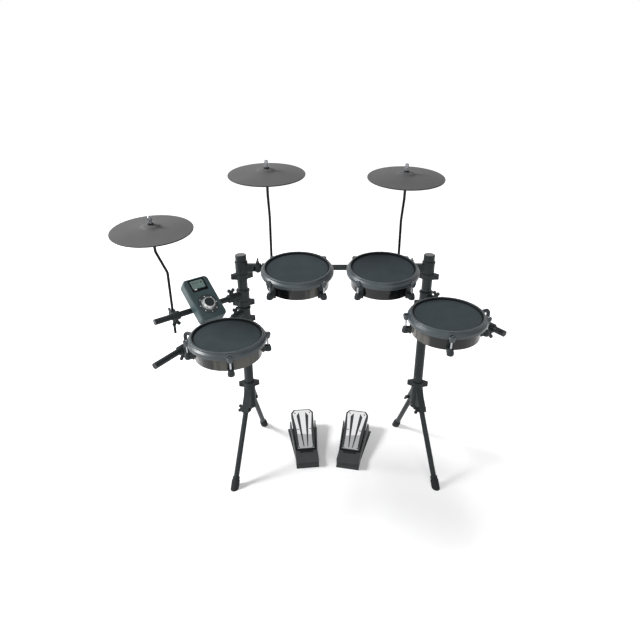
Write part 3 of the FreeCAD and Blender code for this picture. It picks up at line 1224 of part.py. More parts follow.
# Pedals
def hinge_place(name):
    """The frame of a footboard: Y up the board from the hinge, Z out of it."""
    spot, angle = PEDAL_PLACES[name]
    hinge = FreeCAD.Placement(V(0, HINGE_DEPTH, HINGE_HEIGHT), FreeCAD.Rotation(RIGHT, BOARD_SLOPE))
    return turn(spot, angle).multiply(hinge)


def mirrored_outline(points):
    """A closed outline from half of it, mirrored about the Y axis."""
    return [(x, y) for x, y in points] + [(-x, y) for x, y in reversed(points)]


def pedal_base():
    """The base with its heel block, side rails and hinge pin."""
    sole = slab(mirrored_outline([
        (HEEL_WIDTH / 2, 0),
        (HEEL_WIDTH / 2, RAIL_START),
        (FLOOR_PLATE_WIDTH / 2, FLOOR_PLATE_LENGTH),
    ]), FLOOR_PLATE)
    heel = Part.makeBox(HEEL_WIDTH, HEEL_DEPTH, HEEL_HEIGHT, V(-HEEL_WIDTH / 2, 0, 0))
    edges = [e for e in heel.Edges if e.BoundBox.YMax < OVERRUN and e.BoundBox.ZMax > OVERRUN]
    heel = heel.makeFillet(HEEL_ROUND, edges)
    line = HEEL_LINE_DEPTH
    step = block(HEEL_WIDTH + OVERRUN, 2 * (HEEL_DEPTH - HEEL_ROUND), 2 * line, UP * HEEL_LINE_HEIGHT)
    core = heel.copy()
    core.scale(1 - 2 * line / HEEL_WIDTH, V(0, HEEL_DEPTH, HEEL_LINE_HEIGHT))
    heel = heel.cut(step.cut(core))
    outline = mirrored_outline([(HEEL_WIDTH / 2, RAIL_START), (RAIL_WIDTH / 2, RAIL_LENGTH)])
    hollow = mirrored_outline([
        (HEEL_WIDTH / 2 - RAIL_WALL, RAIL_START - OVERRUN),
        (RAIL_WIDTH / 2 - RAIL_WALL, RAIL_LENGTH + OVERRUN),
    ])
    rails = slab(outline, RAIL_TOP).cut(slab(hollow, 2 * RAIL_TOP))
    side = [V(0, RAIL_START, HEEL_HEIGHT - SIDE_GAP), V(0, RAIL_LENGTH - RAIL_CHAMFER, RAIL_TOP),
            V(0, RAIL_LENGTH + OVERRUN, RAIL_TOP - 2 * RAIL_CHAMFER), V(0, RAIL_LENGTH + OVERRUN, 2 * RAIL_TOP),
            V(0, RAIL_START, 2 * RAIL_TOP)]
    wedge = Part.Face(Part.makePolygon(side + side[:1]))
    wedge.translate(-RIGHT * RAIL_WIDTH)
    rails = rails.cut(wedge.extrude(RIGHT * (2 * RAIL_WIDTH)))
    notch_width = HINGE_WIDTH + 2 * SIDE_GAP
    notch_front = HINGE_DEPTH - HINGE_RADIUS - 2 * SIDE_GAP
    notch = Part.makeBox(notch_width, HEEL_DEPTH, HEEL_HEIGHT, V(-notch_width / 2, notch_front, FLOOR_PLATE))
    ramp_width = BOARD_HEEL_WIDTH + HEEL_ROUND
    ramp = Part.makeBox(ramp_width, HEEL_DEPTH, HEEL_HEIGHT, V(-ramp_width / 2, HINGE_DEPTH + HINGE_RADIUS, FLOOR_PLATE))
    hinge = V(0, HINGE_DEPTH, HINGE_HEIGHT)
    reach = RIGHT * (HEEL_WIDTH / 2 - HINGE_PIN_SPARE)
    hole = bar(HINGE_PIN_RADIUS + SEAT_GAP, hinge - reach, hinge + reach)
    body = less(joined([sole, heel, rails]), [notch, ramp, hole])
    pin_reach = reach - RIGHT * SEAT_GAP
    return [body, bar(HINGE_PIN_RADIUS, hinge - pin_reach, hinge + pin_reach)]


def footboard():
    """The board with its hinge barrel, in the hinge frame."""
    plate = slab(mirrored_outline([
        (BOARD_HEEL_WIDTH / 2, BOARD_START),
        (BOARD_WIDE / 2, BOARD_REACH - BOARD_CHAMFER),
        (BOARD_TOE_WIDTH / 2, BOARD_REACH),
    ]), FOOTBOARD_THICKNESS)
    plate.translate(UP * BOARD_LIFT)
    wide = BOARD_REACH - BOARD_CHAMFER
    flange = slab(mirrored_outline([
        (BOARD_HEEL_WIDTH / 2, BOARD_START),
        (BOARD_WIDE / 2, wide),
        (BOARD_TOE_WIDTH / 2, BOARD_REACH),
    ]), FLANGE_DROP)
    inside = slab(mirrored_outline([
        (BOARD_HEEL_WIDTH / 2 - FLANGE_WALL, BOARD_START - OVERRUN),
        (BOARD_WIDE / 2 - FLANGE_WALL, wide - FLANGE_WALL / 2),
        (BOARD_TOE_WIDTH / 2 - FLANGE_WALL / 2, BOARD_REACH - FLANGE_WALL),
    ]), FLANGE_DROP)
    heel_end = Part.makeBox(BOARD_WIDE, FLANGE_START, FLANGE_DROP, V(-BOARD_WIDE / 2, 0, 0))
    flange = less(flange, [inside, heel_end])
    flange.translate(UP * (BOARD_LIFT - FLANGE_DROP))
    half = RIGHT * (HINGE_WIDTH / 2)
    barrel = bar(HINGE_RADIUS, -half, half)
    web = Part.makeBox(HINGE_WIDTH, 2 * BOARD_START, HINGE_RADIUS - BOARD_LIFT, V(-HINGE_WIDTH / 2, 0, BOARD_LIFT))
    hole = bar(HINGE_PIN_RADIUS + PIN_GAP, -half * 2, half * 2)
    return [joined([plate, flange, barrel, web]).cut(hole)]


def tread_plate():
    """The bright plate on a footboard with its two long slots, and its screws."""
    top = BOARD_LIFT + FOOTBOARD_THICKNESS
    plate = slab(mirrored_outline([
        (PLATE_HEEL_WIDTH / 2, PLATE_HEEL),
        (PLATE_NECK_WIDTH / 2, PLATE_NECK),
        (PLATE_WAIST_WIDTH / 2, PLATE_WAIST),
        (PLATE_WIDE_WIDTH / 2, PLATE_WIDE),
        (PLATE_TOE_WIDTH / 2, PLATE_TOE),
    ]), TREAD_THICKNESS)
    slots = []
    for side in (1, -1):
        outline = [
            (side * SLOT_HEEL_INNER, SLOT_HEEL),
            (side * (SLOT_HEEL_INNER + SLOT_HEEL_WIDTH), SLOT_HEEL),
            (side * (SLOT_INNER + SLOT_WIDTH), SLOT_SHOULDER),
            (side * (SLOT_INNER + SLOT_SLANT), SLOT_TOE),
            (side * SLOT_INNER, SLOT_SHOULDER),
        ]
        slots.append(slab(outline, 2 * TREAD_THICKNESS))
    plate = less(plate, slots)
    plate.translate(UP * top)
    solids = [plate]
    for along, across in SCREW_ROWS:
        for side in (1, -1):
            spot = V(side * across, along, top + TREAD_THICKNESS)
            solids.append(Part.makeCylinder(SCREW_RADIUS, SCREW_HEIGHT, spot))
    return solids


def bumper():
    """The rubber stop under a footboard."""
    slope = math.radians(BOARD_SLOPE - PRESS_ANGLE)
    near = BUMPER_DEPTH - BUMPER_RADIUS - HINGE_DEPTH
    under = HINGE_HEIGHT + near * math.tan(slope) + BOARD_LIFT * math.cos(slope)
    spot = V(0, BUMPER_DEPTH, FLOOR_PLATE)
    return [Part.makeCylinder(BUMPER_RADIUS, under - FLOOR_PLATE - SIDE_GAP, spot)]


# Every node, from the floor up
export("left_leg_base", leg_base(LEFT_POST, (LEG_HEADINGS["left_front"], LEG_HEADINGS["left_rear"])))
export("right_leg_base", leg_base(RIGHT_POST, (LEG_HEADINGS["right_front"], LEG_HEADINGS["right_rear"])))
for leg_name, leg_angle in LEG_HEADINGS.items():
    leg_post = LEFT_POST if leg_name.startswith("left") else RIGHT_POST
    export("%s_leg" % leg_name, [placed(solid, turn(leg_post, leg_angle)) for solid in leg()])

COLLARS_LEFT = (
    (HOUSING_TOP, 190),
    (SNARE_ARM_HEIGHT - ARM_CLAMP_HEIGHT / 2 - COLLAR_HEIGHT, 20),
    (MODULE_ARM_HEIGHT - ARM_CLAMP_HEIGHT / 2 - COLLAR_HEIGHT, 10),
    (TOP_CLAMP_BOTTOM - COLLAR_HEIGHT, 200),
)
COLLARS_RIGHT = (
    (HOUSING_TOP, -10),
    (FLOOR_ARM_HEIGHT - ARM_CLAMP_HEIGHT / 2 - COLLAR_HEIGHT, 160),
    (TOP_CLAMP_BOTTOM - COLLAR_HEIGHT, -20),
)
for post_name, post_axis, collars, clamp_angle in (
    ("left", LEFT_POST, COLLARS_LEFT, 0),
    ("right", RIGHT_POST, COLLARS_RIGHT, 180),
):
    export("%s_post" % post_name, post(post_axis))
    clamps = top_clamp(post_axis, clamp_angle)
    for collar_bottom, collar_angle in collars:
        clamps += collar(post_axis, collar_bottom, collar_angle)
    export("%s_post_clamps" % post_name, clamps)

export("crossbar", crossbar())
crossbar_clamps = pad_holder("tom_1") + pad_holder("tom_2")
for rod_name in ("middle", "right"):
    crossbar_clamps += rod_clamp(*rod_base(rod_name), ROD_RADIUS, ROD_CLAMP_LENGTH)
export("crossbar_clamps", crossbar_clamps)

export("module_arm", arm(LEFT_POST, MODULE_ARM_HEADING, MODULE_ARM_HEIGHT, MODULE_ARM_REACH))
export("module_arm_clamps", arm_clamp(LEFT_POST, MODULE_ARM_HEADING, MODULE_ARM_HEIGHT)
       + rod_clamp(*rod_base("left"), ROD_RADIUS, ROD_CLAMP_LENGTH))
export("snare_arm", arm(LEFT_POST, SNARE_ARM_HEADING, SNARE_ARM_HEIGHT, SNARE_ARM_REACH))
export("snare_arm_clamps", arm_clamp(LEFT_POST, SNARE_ARM_HEADING, SNARE_ARM_HEIGHT) + pad_holder("snare"))
export("floor_tom_arm", arm(RIGHT_POST, FLOOR_ARM_HEADING, FLOOR_ARM_HEIGHT, FLOOR_ARM_REACH))
export("floor_tom_arm_clamps", arm_clamp(RIGHT_POST, FLOOR_ARM_HEADING, FLOOR_ARM_HEIGHT) + pad_holder("floor_tom"))

for pad_name in PAD_PLACES:
    pad(pad_name)

for cymbal_name in CYMBALS:
    export("%s_cymbal" % cymbal_name, [placed(cymbal(), cymbal_place(cymbal_name))])
    export("%s_cymbal_rod" % cymbal_name, cymbal_rod(cymbal_name))

MODULE_PIECES = {
    "front_case": module_front(),
    "rear_case": module_rear(),
    "display": module_display(),
    "dial": module_dial(),
    "button": module_button(),
    "circuit_board": module_circuit_board(),
}
for piece_name, piece_solids in MODULE_PIECES.items():
    export("module_%s" % piece_name, [placed(solid, module_place()) for solid in piece_solids])

pedal_bases = []
pedal_bumpers = []
for pedal_name, (pedal_spot, pedal_angle) in PEDAL_PLACES.items():
    pedal_place = turn(pedal_spot, pedal_angle)
    pedal_bases += [placed(solid, pedal_place) for solid in pedal_base()]
    pedal_bumpers += [placed(solid, pedal_place) for solid in bumper()]
    export("%s_board" % pedal_name, [placed(solid, hinge_place(pedal_name)) for solid in footboard()])
    export("%s_plate" % pedal_name, [placed(solid, hinge_place(pedal_name)) for solid in tread_plate()])
export("pedal_bases", pedal_bases)
export("pedal_bumpers", pedal_bumpers)
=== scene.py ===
import json
import math

import bmesh
import bpy
from mathutils import Matrix, Vector


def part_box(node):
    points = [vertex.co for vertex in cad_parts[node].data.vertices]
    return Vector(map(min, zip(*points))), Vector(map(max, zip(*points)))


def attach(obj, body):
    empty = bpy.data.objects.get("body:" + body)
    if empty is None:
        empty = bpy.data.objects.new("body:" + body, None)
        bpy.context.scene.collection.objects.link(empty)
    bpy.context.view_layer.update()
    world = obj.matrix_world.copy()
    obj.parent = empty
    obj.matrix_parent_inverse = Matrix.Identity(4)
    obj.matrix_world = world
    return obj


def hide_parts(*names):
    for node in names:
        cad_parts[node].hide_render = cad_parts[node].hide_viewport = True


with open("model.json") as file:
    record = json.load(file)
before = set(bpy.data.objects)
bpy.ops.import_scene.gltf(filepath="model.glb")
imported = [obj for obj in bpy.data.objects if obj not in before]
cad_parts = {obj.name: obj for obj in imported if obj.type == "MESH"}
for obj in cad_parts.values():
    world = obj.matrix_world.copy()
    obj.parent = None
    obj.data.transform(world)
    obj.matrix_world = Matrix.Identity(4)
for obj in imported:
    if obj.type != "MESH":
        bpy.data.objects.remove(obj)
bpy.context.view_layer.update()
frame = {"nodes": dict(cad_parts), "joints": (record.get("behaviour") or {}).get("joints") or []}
nodes = frame["nodes"]
joints = {joint["name"]: joint for joint in frame["joints"]}

# Studio: a pale seamless paper floor in a white room, lit by a square key light on the left
# and by a wider fill in front. The paper keeps the shadows near its middle and glows more
# with distance, so that it melts into the white.
FLOOR_RADIUS = 9.0
FLOOR_SIDES = 96
FLOOR_GLOW_NEAR = 0.16
FLOOR_GLOW_FAR = 0.85
FLOOR_GLOW_START = 0.2
FLOOR_GLOW_END = 1.1
PAPER_TONE = (0.9, 0.9, 0.905)
PAPER_ROUGHNESS = 0.9
PAPER_SPECULAR = 0.1
ROOM_LIGHT = 0.17
ROOM_SEEN = 1.0


def new_material(name):
    """A material with its node tree and its shader."""
    material = bpy.data.materials.new(name)
    material.use_nodes = True
    tree = material.node_tree
    return material, tree, tree.nodes["Principled BSDF"]


def computed(tree, kind, operation, *sources):
    """A math node whose first inputs come from other sockets."""
    step = tree.nodes.new(kind)
    step.operation = operation
    for socket, source in zip(step.inputs, sources):
        tree.links.new(source, socket)
    return step


def mapped(tree, value, start, end, low, high):
    """A node that carries a value from one range over to another."""
    change = tree.nodes.new("ShaderNodeMapRange")
    for socket, bound in zip(("From Min", "From Max", "To Min", "To Max"), (start, end, low, high)):
        change.inputs[socket].default_value = bound
    tree.links.new(value, change.inputs["Value"])
    return change


def seen_directly(tree):
    """One where the camera, a reflection or a window shows a surface, and zero elsewhere."""
    ray = tree.nodes.new("ShaderNodeLightPath")
    shown = ray.outputs["Is Camera Ray"]
    for other in ("Is Glossy Ray", "Is Transmission Ray"):
        shown = computed(tree, "ShaderNodeMath", "MAXIMUM", shown, ray.outputs[other]).outputs["Value"]
    return shown


def floor_finish():
    """Pale paper with a glow that only the camera and reflections see."""
    material, tree, shader = new_material("studio_floor")
    links = tree.links
    shader.inputs["Base Color"].default_value = (*PAPER_TONE, 1)
    shader.inputs["Roughness"].default_value = PAPER_ROUGHNESS
    shader.inputs["Specular IOR Level"].default_value = PAPER_SPECULAR
    place = tree.nodes.new("ShaderNodeTexCoord")
    away = computed(tree, "ShaderNodeVectorMath", "LENGTH", place.outputs["Object"])
    rise = mapped(tree, away.outputs["Value"], FLOOR_GLOW_START, FLOOR_GLOW_END,
                  FLOOR_GLOW_NEAR, FLOOR_GLOW_FAR)
    shown = computed(tree, "ShaderNodeMath", "MULTIPLY", rise.outputs["Result"], seen_directly(tree))
    glow = tree.nodes.new("ShaderNodeEmission")
    links.new(shown.outputs["Value"], glow.inputs["Strength"])
    both = tree.nodes.new("ShaderNodeAddShader")
    links.new(shader.outputs["BSDF"], both.inputs[0])
    links.new(glow.outputs["Emission"], both.inputs[1])
    links.new(both.outputs["Shader"], tree.nodes["Material Output"].inputs["Surface"])
    return material


def piece(name, bm, *materials):
    """An object at the origin from a bmesh, with its materials."""
    mesh = bpy.data.meshes.new(name)
    bm.to_mesh(mesh)
    bm.free()
    for material in materials:
        mesh.materials.append(material)
    obj = bpy.data.objects.new(name, mesh)
    bpy.context.scene.collection.objects.link(obj)
    return obj


floor_bm = bmesh.new()
bmesh.ops.create_circle(floor_bm, cap_ends=True, segments=FLOOR_SIDES, radius=FLOOR_RADIUS)
piece("studio_floor", floor_bm, floor_finish())

world = bpy.data.worlds.new("studio")
bpy.context.scene.world = world
world.use_nodes = True
sky = world.node_tree
background = sky.nodes["Background"]
background.inputs["Color"].default_value = (1, 1, 1, 1)
level = mapped(sky, seen_directly(sky), 0, 1, ROOM_LIGHT, ROOM_SEEN)
sky.links.new(level.outputs["Result"], background.inputs["Strength"])


def lamp(name, place, aim, size, power):
    """A square area light that looks at a point."""
    data = bpy.data.lights.new(name, "AREA")
    data.shape = "SQUARE"
    data.size = size
    data.energy = power
    obj = bpy.data.objects.new(name, data)
    bpy.context.scene.collection.objects.link(obj)
    obj.location = place
    obj.rotation_euler = (Vector(aim) - Vector(place)).to_track_quat("-Z", "Y").to_euler()


lamp("key_light", place=(-3.5, 0.1, 3.6), aim=(0, 0, 0.6), size=1.3, power=245)
lamp("fill_light", place=(0.4, -4.5, 4.2), aim=(0, 0, 0.7), size=3.0, power=100)

# Its place is kept from the left post, and its lens from a picture of a set width in pixels.
CAMERA_FROM_LEFT_POST = (0.2775, -1.785)
CAMERA_HEIGHT = 1.5
CAMERA_PITCH = 26.0
CAMERA_FOCAL_PIXELS = 537.0
PICTURE_PIXELS = 640.0
camera_data = bpy.data.cameras.new("camera")
camera_data.sensor_fit = "HORIZONTAL"
camera_data.lens = camera_data.sensor_width * CAMERA_FOCAL_PIXELS / PICTURE_PIXELS
camera = bpy.data.objects.new("camera", camera_data)
bpy.context.scene.collection.objects.link(camera)
post_low, post_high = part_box("left_post")
camera.location = ((post_low.x + post_high.x) / 2 + CAMERA_FROM_LEFT_POST[0],
                   (post_low.y + post_high.y) / 2 + CAMERA_FROM_LEFT_POST[1], CAMERA_HEIGHT)
camera.rotation_euler = (math.radians(90 - CAMERA_PITCH), 0, 0)
bpy.context.scene.camera = camera
bpy.context.scene.view_settings.view_transform = "Standard"

# Legs: steel tubes powder coated in satin black with a faint orange peel, on pushed-in rubber feet.
# Each hangs on a bolt through its base and leans on the end of the channel that it folds into.
FOOT_TOP = 0.042
GRAIN_DETAIL = 4
GRAIN_DEPTH = 0.0004
PATCH_DETAIL = 3
PATCH_RATIO = 60
PATCH_SHARE = 0.6
TONE_START = 0.35
TONE_END = 0.65
GLOSS_SPREAD = 0.08


def object_place(tree, shift=(0, 0, 0), stretch=(1, 1, 1)):
    """Object coordinates, moved and stretched."""
    place = tree.nodes.new("ShaderNodeTexCoord")
    turn = tree.nodes.new("ShaderNodeMapping")
    turn.inputs["Location"].default_value = shift
    turn.inputs["Scale"].default_value = stretch
    tree.links.new(place.outputs["Object"], turn.inputs["Vector"])
    return turn.outputs["Vector"]


def noise(tree, place, scale, detail):
    """Noise of one scale at the places that a socket gives."""
    texture = tree.nodes.new("ShaderNodeTexNoise")
    texture.inputs["Scale"].default_value = scale
    texture.inputs["Detail"].default_value = detail
    tree.links.new(place, texture.inputs["Vector"])
    return texture.outputs["Fac"]


def emboss(tree, height, strength, depth):
    """Relief on a material's surface that follows a height."""
    relief = tree.nodes.new("ShaderNodeBump")
    relief.inputs["Strength"].default_value = strength
    relief.inputs["Distance"].default_value = depth
    tree.links.new(height, relief.inputs["Height"])
    tree.links.new(relief.outputs["Normal"], tree.nodes["Principled BSDF"].inputs["Normal"])


def grained(name, dark, light, roughness, grain, bump=0.0, specular=0.5, stretch=(1, 1, 1)):
    """A moulded or coated finish: tone and gloss follow grain and patches, and relief the grain alone."""
    material, tree, shader = new_material(name)
    links = tree.links
    place = object_place(tree, stretch=stretch)
    fine = noise(tree, place, grain, GRAIN_DETAIL)
    broad = noise(tree, place, grain / PATCH_RATIO, PATCH_DETAIL)
    both = tree.nodes.new("ShaderNodeMix")
    both.inputs["Factor"].default_value = PATCH_SHARE
    links.new(fine, both.inputs["A"])
    links.new(broad, both.inputs["B"])
    tone = tree.nodes.new("ShaderNodeValToRGB")
    tone.name = "tone"
    start, end = tone.color_ramp.elements
    start.position = TONE_START
    start.color = (*dark, 1)
    end.position = TONE_END
    end.color = (*light, 1)
    links.new(both.outputs["Result"], tone.inputs["Fac"])
    links.new(tone.outputs["Color"], shader.inputs["Base Color"])
    gloss = mapped(tree, both.outputs["Result"], 0, 1, roughness - GLOSS_SPREAD, roughness + GLOSS_SPREAD)
    links.new(gloss.outputs["Result"], shader.inputs["Roughness"])
    if bump:
        emboss(tree, fine, bump, GRAIN_DEPTH)
    shader.inputs["Specular IOR Level"].default_value = specular
    return material


def dress(name, *materials):
    """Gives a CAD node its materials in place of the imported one."""
    mesh = nodes[name].data
    mesh.materials.clear()
    for material in materials:
        mesh.materials.append(material)
    return mesh


tube_coat = grained("satin_tube_coat", dark=(0.012, 0.016, 0.018), light=(0.020, 0.026, 0.028),
                    roughness=0.42, grain=900, bump=0.15, specular=0.25)
foot_rubber = grained("foot_rubber", dark=(0.010, 0.011, 0.012), light=(0.018, 0.020, 0.021),
                      roughness=0.75, grain=700, bump=0.35, specular=0.3)
for name in ("left_front_leg", "left_rear_leg", "right_front_leg", "right_rear_leg"):
    for face in dress(name, tube_coat, foot_rubber).polygons:
        face.material_index = int(face.center.z < FOOT_TOP)

# Leg bases, collars and clamps: glass-filled nylon mouldings with a fine spark-eroded grain.
# Each is moulded in one piece and closed on its tube with a wing bolt.
clamp_nylon = grained("clamp_nylon", dark=(0.012, 0.016, 0.018), light=(0.022, 0.028, 0.030),
                      roughness=0.5, grain=1400, bump=0.4, specular=0.25)
for name in ("left_leg_base", "right_leg_base", "left_post_clamps", "right_post_clamps", "crossbar_clamps",
             "module_arm_clamps", "snare_arm_clamps", "floor_tom_arm_clamps"):
    dress(name, clamp_nylon)

# Posts, crossbar and arms: the same coated tube; the posts carry a moulded cap with a painted highlight on
# its top.
# The posts stand in the leg bases, and the crossbar hangs between them on two knuckles.
CAP_BOTTOM = 0.8605
CAP_TOP_FACING = 0.95
# A much paler copy of the cap nylon, painted on the cap's up-facing top as a highlight.
cap_top_painted_highlight = grained("cap_top_painted_highlight", dark=(0.088, 0.091, 0.093), light=(0.120, 0.123, 0.125),
                    roughness=0.45, grain=900, bump=0.2)
for name in ("crossbar", "module_arm", "snare_arm", "floor_tom_arm"):
    dress(name, tube_coat)
for name in ("left_post", "right_post"):
    # Cap faces that face up get the painted highlight; the cap's other faces get the nylon.
    for face in dress(name, tube_coat, clamp_nylon, cap_top_painted_highlight).polygons:
        if face.center.z > CAP_BOTTOM:
            face.material_index = 2 if face.normal.z > CAP_TOP_FACING else 1

# Pad shells: deep dishes in a dark gloss lacquer, with upright warm-grey streaks painted on as
# reflections.
# They hang on a bracket at the side, and the sensor sits inside on posts.
SHELL_REFLECTION_STREAKS = {"snare": 0.42, "tom_1": 0.48, "tom_2": 0.62, "floor_tom": 0.50}
PADS = tuple(SHELL_REFLECTION_STREAKS)
REFLECTION_STREAK_EDGE = 0.08
REFLECTION_STREAK_SCALE = 17
REFLECTION_STREAK_DETAIL = 4
REFLECTION_STREAK_STRETCH = (1, 1, 0.02)
LACQUER_COAT = 0.12
LACQUER_COAT_ROUGHNESS = 0.06


def lacquer_with_painted_reflections(name, threshold):
    """Gloss lacquer with painted reflections: its tone changes round the shell in upright streaks."""
    material = grained(name, dark=(0.004, 0.005, 0.005), light=(0.094, 0.091, 0.080),
                       roughness=0.2, grain=300, bump=0.02, specular=0.25)
    tree = material.node_tree
    tone = tree.nodes["tone"]
    start, end = tone.color_ramp.elements
    start.position = threshold
    end.position = threshold + REFLECTION_STREAK_EDGE
    # Warm-grey streaks over near-black, painted as reflections of the room.
    painted_reflections = noise(tree, object_place(tree, stretch=REFLECTION_STREAK_STRETCH), REFLECTION_STREAK_SCALE, REFLECTION_STREAK_DETAIL)
    tree.links.new(painted_reflections, tone.inputs["Fac"])
    shader = tree.nodes["Principled BSDF"]
    shader.inputs["Coat Weight"].default_value = LACQUER_COAT
    shader.inputs["Coat Roughness"].default_value = LACQUER_COAT_ROUGHNESS
    return material


sensor_grey = grained("sensor_grey", dark=(0.10, 0.10, 0.11), light=(0.15, 0.15, 0.16),
                      roughness=0.5, grain=600, bump=0.1)
for name in PADS:
    dress(name + "_shell", lacquer_with_painted_reflections(name + "_lacquer", SHELL_REFLECTION_STREAKS[name]))
    dress(name + "_trigger", sensor_grey)
    dress(name + "_lugs", clamp_nylon)

# Pad heads: two plies of fine woven mesh under a thin grey coat, with painted shade from the rim as a
# near-black ring round its edge.
# The head's collar slips over the shell, and the hoop draws it down.
WEAVE_PITCH = 0.0016
WEAVE_BUMP = 0.35
WEAVE_DEPTH = 0.0003
WAVE_AT_UNIT_SCALE = math.pi / 10
RIM_SHADE_RADIUS = 0.0965
RIM_SHADE_FADE = 0.0015
RIM_SHADE_TONE = (0.006, 0.007, 0.008)
FACING_UP = 0.5
MIX_FACTOR = 0
MIX_FIRST_COLOUR = 6
MIX_SECOND_COLOUR = 7
MIX_COLOUR_RESULT = 2


def upper_side(name):
    """The middle of a node's upper side and the direction that it faces."""
    faces = [face for face in nodes[name].data.polygons if face.normal.z > FACING_UP]
    area = sum(face.area for face in faces)
    middle = sum((face.center * face.area for face in faces), Vector()) / area
    return middle, sum((face.normal * face.area for face in faces), Vector()).normalized()


def woven(name, middle, axis):
    """Coated mesh: two crossing waves give its weave, and outside a circle round the axis the tone turns
    near-black as painted rim shade.
    """
    material = grained(name, dark=(0.026, 0.035, 0.040), light=(0.036, 0.047, 0.053),
                       roughness=0.6, grain=1500, specular=0.12)
    tree = material.node_tree
    links = tree.links
    place = tree.nodes.new("ShaderNodeTexCoord").outputs["Object"]
    threads = []
    for direction in ("X", "Y"):
        wave = tree.nodes.new("ShaderNodeTexWave")
        wave.wave_type = "BANDS"
        wave.bands_direction = direction
        wave.inputs["Scale"].default_value = WAVE_AT_UNIT_SCALE / WEAVE_PITCH
        links.new(place, wave.inputs["Vector"])
        threads.append(wave.outputs["Fac"])
    weave = computed(tree, "ShaderNodeMath", "MAXIMUM", *threads)
    emboss(tree, weave.outputs["Value"], WEAVE_BUMP, WEAVE_DEPTH)
    away = computed(tree, "ShaderNodeVectorMath", "SUBTRACT", place)
    away.inputs[1].default_value = middle
    turned = computed(tree, "ShaderNodeVectorMath", "CROSS_PRODUCT", away.outputs["Vector"])
    turned.inputs[1].default_value = axis
    radius = computed(tree, "ShaderNodeVectorMath", "LENGTH", turned.outputs["Vector"])
    # Outside this radius the head turns near-black: painted shade from the rim.
    rim_shade_mask = mapped(tree, radius.outputs["Value"], RIM_SHADE_RADIUS, RIM_SHADE_RADIUS + RIM_SHADE_FADE, 0, 1)
    rim_shade_mix = tree.nodes.new("ShaderNodeMix")
    rim_shade_mix.data_type = "RGBA"
    rim_shade_mix.inputs[MIX_SECOND_COLOUR].default_value = (*RIM_SHADE_TONE, 1)
    links.new(rim_shade_mask.outputs["Result"], rim_shade_mix.inputs[MIX_FACTOR])
    links.new(tree.nodes["tone"].outputs["Color"], rim_shade_mix.inputs[MIX_FIRST_COLOUR])
    links.new(rim_shade_mix.outputs[MIX_COLOUR_RESULT], tree.nodes["Principled BSDF"].inputs["Base Color"])
    return material


for name in PADS:
    middle, axis = upper_side(name + "_head")
    dress(name + "_head", woven(name + "_weave", middle, axis))

# Hoops: a steel ring moulded into blue-grey rubber, with four ears for the tension rods.
# The plated rods pass through the ears and screw into the lugs on the shell.
SHADED_INSIDE_FACING = 0.6
PLATE_SHADE_SHARE = 0.85
PLATE_BUMP = 0.06
hoop_rubber = grained("hoop_rubber", dark=(0.036, 0.048, 0.055), light=(0.054, 0.068, 0.076),
                      roughness=0.34, grain=1100, bump=0.25, specular=0.4)
# A darker copy of the hoop rubber, painted as shade on the hoop's inner wall.
hoop_inside_painted_shade = grained("hoop_inside_painted_shade", dark=(0.007, 0.009, 0.010), light=(0.012, 0.014, 0.015),
                      roughness=0.6, grain=1100, bump=0.25, specular=0.2)


def plated(name, colour, roughness, grain=1800, stretch=(1, 1, 1)):
    """A plated or brushed metal with very fine marks."""
    shade = tuple(PLATE_SHADE_SHARE * part for part in colour)
    material = grained(name, shade, colour, roughness, grain, bump=PLATE_BUMP, stretch=stretch)
    material.node_tree.nodes["Principled BSDF"].inputs["Metallic"].default_value = 1.0
    return material


zinc_plate = plated("zinc_plate", colour=(0.33, 0.34, 0.36), roughness=0.25)
# Hoop faces that face in towards the head get the painted shade.
for name in PADS:
    middle = upper_side(name + "_head")[0]
    for face in dress(name + "_hoop", hoop_rubber, hoop_inside_painted_shade).polygons:
        inward = (middle - face.center).normalized()
        face.material_index = int(face.normal.dot(inward) > SHADED_INSIDE_FACING)
    dress(name + "_tension_rods", zinc_plate)

# Cymbal rods: bent steel in black chrome with a stop, two felts and a bright nut.
# The rod is bent cold, plated, and held in its clamp by a wing bolt.
ROD_SURFACE = 0.0047
NUT_BOTTOM = 0.0072
FELT_REACH = 0.0116
CYMBALS = ("left", "middle", "right")
black_chrome = plated("black_chrome", colour=(0.016, 0.016, 0.018), roughness=0.2)
cup_felt = grained("cup_felt", dark=(0.02, 0.02, 0.02), light=(0.05, 0.05, 0.05),
                   roughness=0.92, grain=1600, bump=0.8, specular=0.1)


def cymbal_axis(name):
    """The hub of a cymbal and the direction of its rod there."""
    return Vector(joints[name + "_cymbal_rock"]["pos_m"]), upper_side(name + "_cymbal")[1]


for name in CYMBALS:
    hub, axis = cymbal_axis(name)
    for face in dress(name + "_cymbal_rod", black_chrome, cup_felt, zinc_plate).polygons:
        away = face.center - hub
        height = away.dot(axis)
        if (away - axis * height).length < ROD_SURFACE or height < -FELT_REACH:
            face.material_index = 0
        else:
            face.material_index = 2 if height > NUT_BOTTOM else 1

# Cymbals: grey rubber over a plastic core with fine moulded rings and a black edge.
# Each is moulded in one piece and held loosely between two felts.
GROOVE_PITCH = 0.0032
GROOVE_WANDER = 0.4
GROOVE_BUMP = 0.25
GROOVE_DEPTH = 0.0003
EDGE_FACING = 0.6


